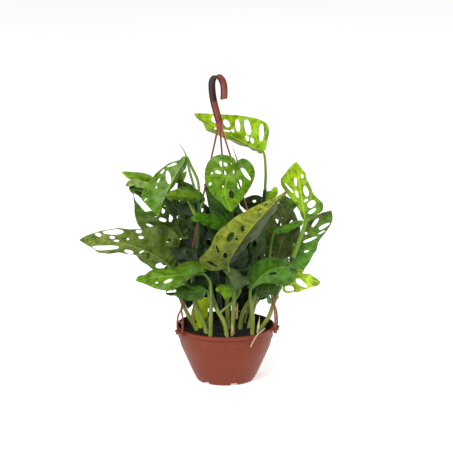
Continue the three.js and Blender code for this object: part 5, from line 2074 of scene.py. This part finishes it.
# %% Sheaths, air root and sprout
SHEATHS = [
    [(232, 335, -50), (232.4, 328, -51), (231.6, 322, -50)],
    [(236.4, 318, -24), (236.8, 309, -26), (237.6, 302, -27)],
    [(194, 322, 4), (192.4, 313, 5), (193.6, 306, 6)],
]
SHEATH_RADIUS = 1.7
AIR_ROOT = [
    (264.5, 328, -26), (262.5, 329.8, -40), (259, 331.9, -52.5), (256, 335.4, -62),
    (253, 340.4, -66.8), (250.4, 346, -67),
]
AIR_ROOT_RADIUS = 1.3
AIR_ROOT_KNOTS = 0.12
SPROUT = [(257.4, 333, -38), (258.2, 325, -38), (259.6, 315.5, -38)]
SPROUT_TINTS = ("#E6E8BC", "#B4C86A")

dry_parts = []
for points in SHEATHS:
    path = smooth_path([seen(spot) for spot in points], 6)
    count = len(path) - 1
    radii = [SHEATH_RADIUS * (1 - (index / count) ** 3) + 0.25 for index in range(count + 1)]
    sheath = rod("sheath", path, radii)
    finish_with(sheath, dry_skin)
    dry_parts.append(sheath)
path = smooth_path([seen(spot) for spot in AIR_ROOT], 8)
count = len(path) - 1
radii = [
    AIR_ROOT_RADIUS * (1 - 0.25 * index / count) + AIR_ROOT_KNOTS * math.sin(index * 1.7)
    for index in range(count + 1)
]
air_root = rod("air_root", path, radii, roundness=3)
finish_with(air_root, dry_skin)
sprout = rolled_leaf([seen(spot) for spot in SPROUT])
paint(sprout, *SPROUT_TINTS)
finish_with(sprout, stem_skin)
dry = join_smooth("dry_sheaths_and_air_root", dry_parts + [air_root, sprout])
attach(dry, "root")
print("dry faces:", len(dry.data.polygons))

# %% [markdown]
# ## Plant label
#
# The label is a stake die-cut from thin lime-yellow plastic sheet. Its outline is a
# face, drawn once and given its thickness by Solidify, and it is left bare.

# %% Plant label
LABEL = {"x": -42, "y": 13, "lean": -4, "turn": 8, "buried": 20, "thickness": 0.8}
LABEL_EDGE = 0.12
OUTLINE = [
    (-4.5, 0), (4.5, 0), (4.5, 30), (7, 33), (12, 38), (12, 66), (11.4, 67.4), (10, 68),
    (-10, 68), (-11.4, 67.4), (-12, 66), (-12, 38), (-7, 33), (-4.5, 30),
]
lean, turn = math.radians(LABEL["lean"]), math.radians(LABEL["turn"])
corners = []
for across, up in OUTLINE:
    side = across * math.cos(lean) - up * math.sin(lean)
    height = across * math.sin(lean) + up * math.cos(lean)
    corners.append(place((
        LABEL["x"] + side * math.cos(turn), LABEL["y"] + side * math.sin(turn),
        SOIL_CROWN - LABEL["buried"] + height,
    )))
mesh = bpy.data.meshes.new("plant_label")
mesh.from_pydata(corners, [], [tuple(range(len(corners)))])
label = bpy.data.objects.new("plant_label", mesh)
bpy.context.collection.objects.link(label)
select_only(label)
sheet = label.modifiers.new("sheet", "SOLIDIFY")
sheet.thickness = LABEL["thickness"] * MM
sheet.offset = 0
bpy.ops.object.modifier_apply(modifier=sheet.name)
round_edges(label, LABEL_EDGE)
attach(label, "root")
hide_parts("label")
print("label faces:", len(label.data.polygons))

# %% [markdown]
# The sheet is rolled polystyrene with a satin skin, which soil has stained brown in
# patches of about 9 mm.

# %% Lime plastic sheet
STAIN_SIZE = 9

label_plastic, tree, shader = new_material("lime plastic sheet", Roughness=0.45, IOR=1.5)
position = add_node(tree, "ShaderNodeTexCoord", output="Object")
dust = add_node(tree, "ShaderNodeTexNoise", {
    "Vector": position, "Scale": 1 / (STAIN_SIZE * MM), "Detail": 5.0,
})
stain = add_node(tree, "ShaderNodeMapRange", {
    "Value": dust, "From Min": 0.56, "From Max": 0.74, "To Max": 0.6,
})
colour = add_node(tree, "ShaderNodeMix", {
    "Factor": stain, "A": linear("#DCFF14"), "B": linear("#C09A38"),
}, data_type="RGBA")
tree.links.new(colour, shader.inputs["Base Color"])
finish_with(label, label_plastic)
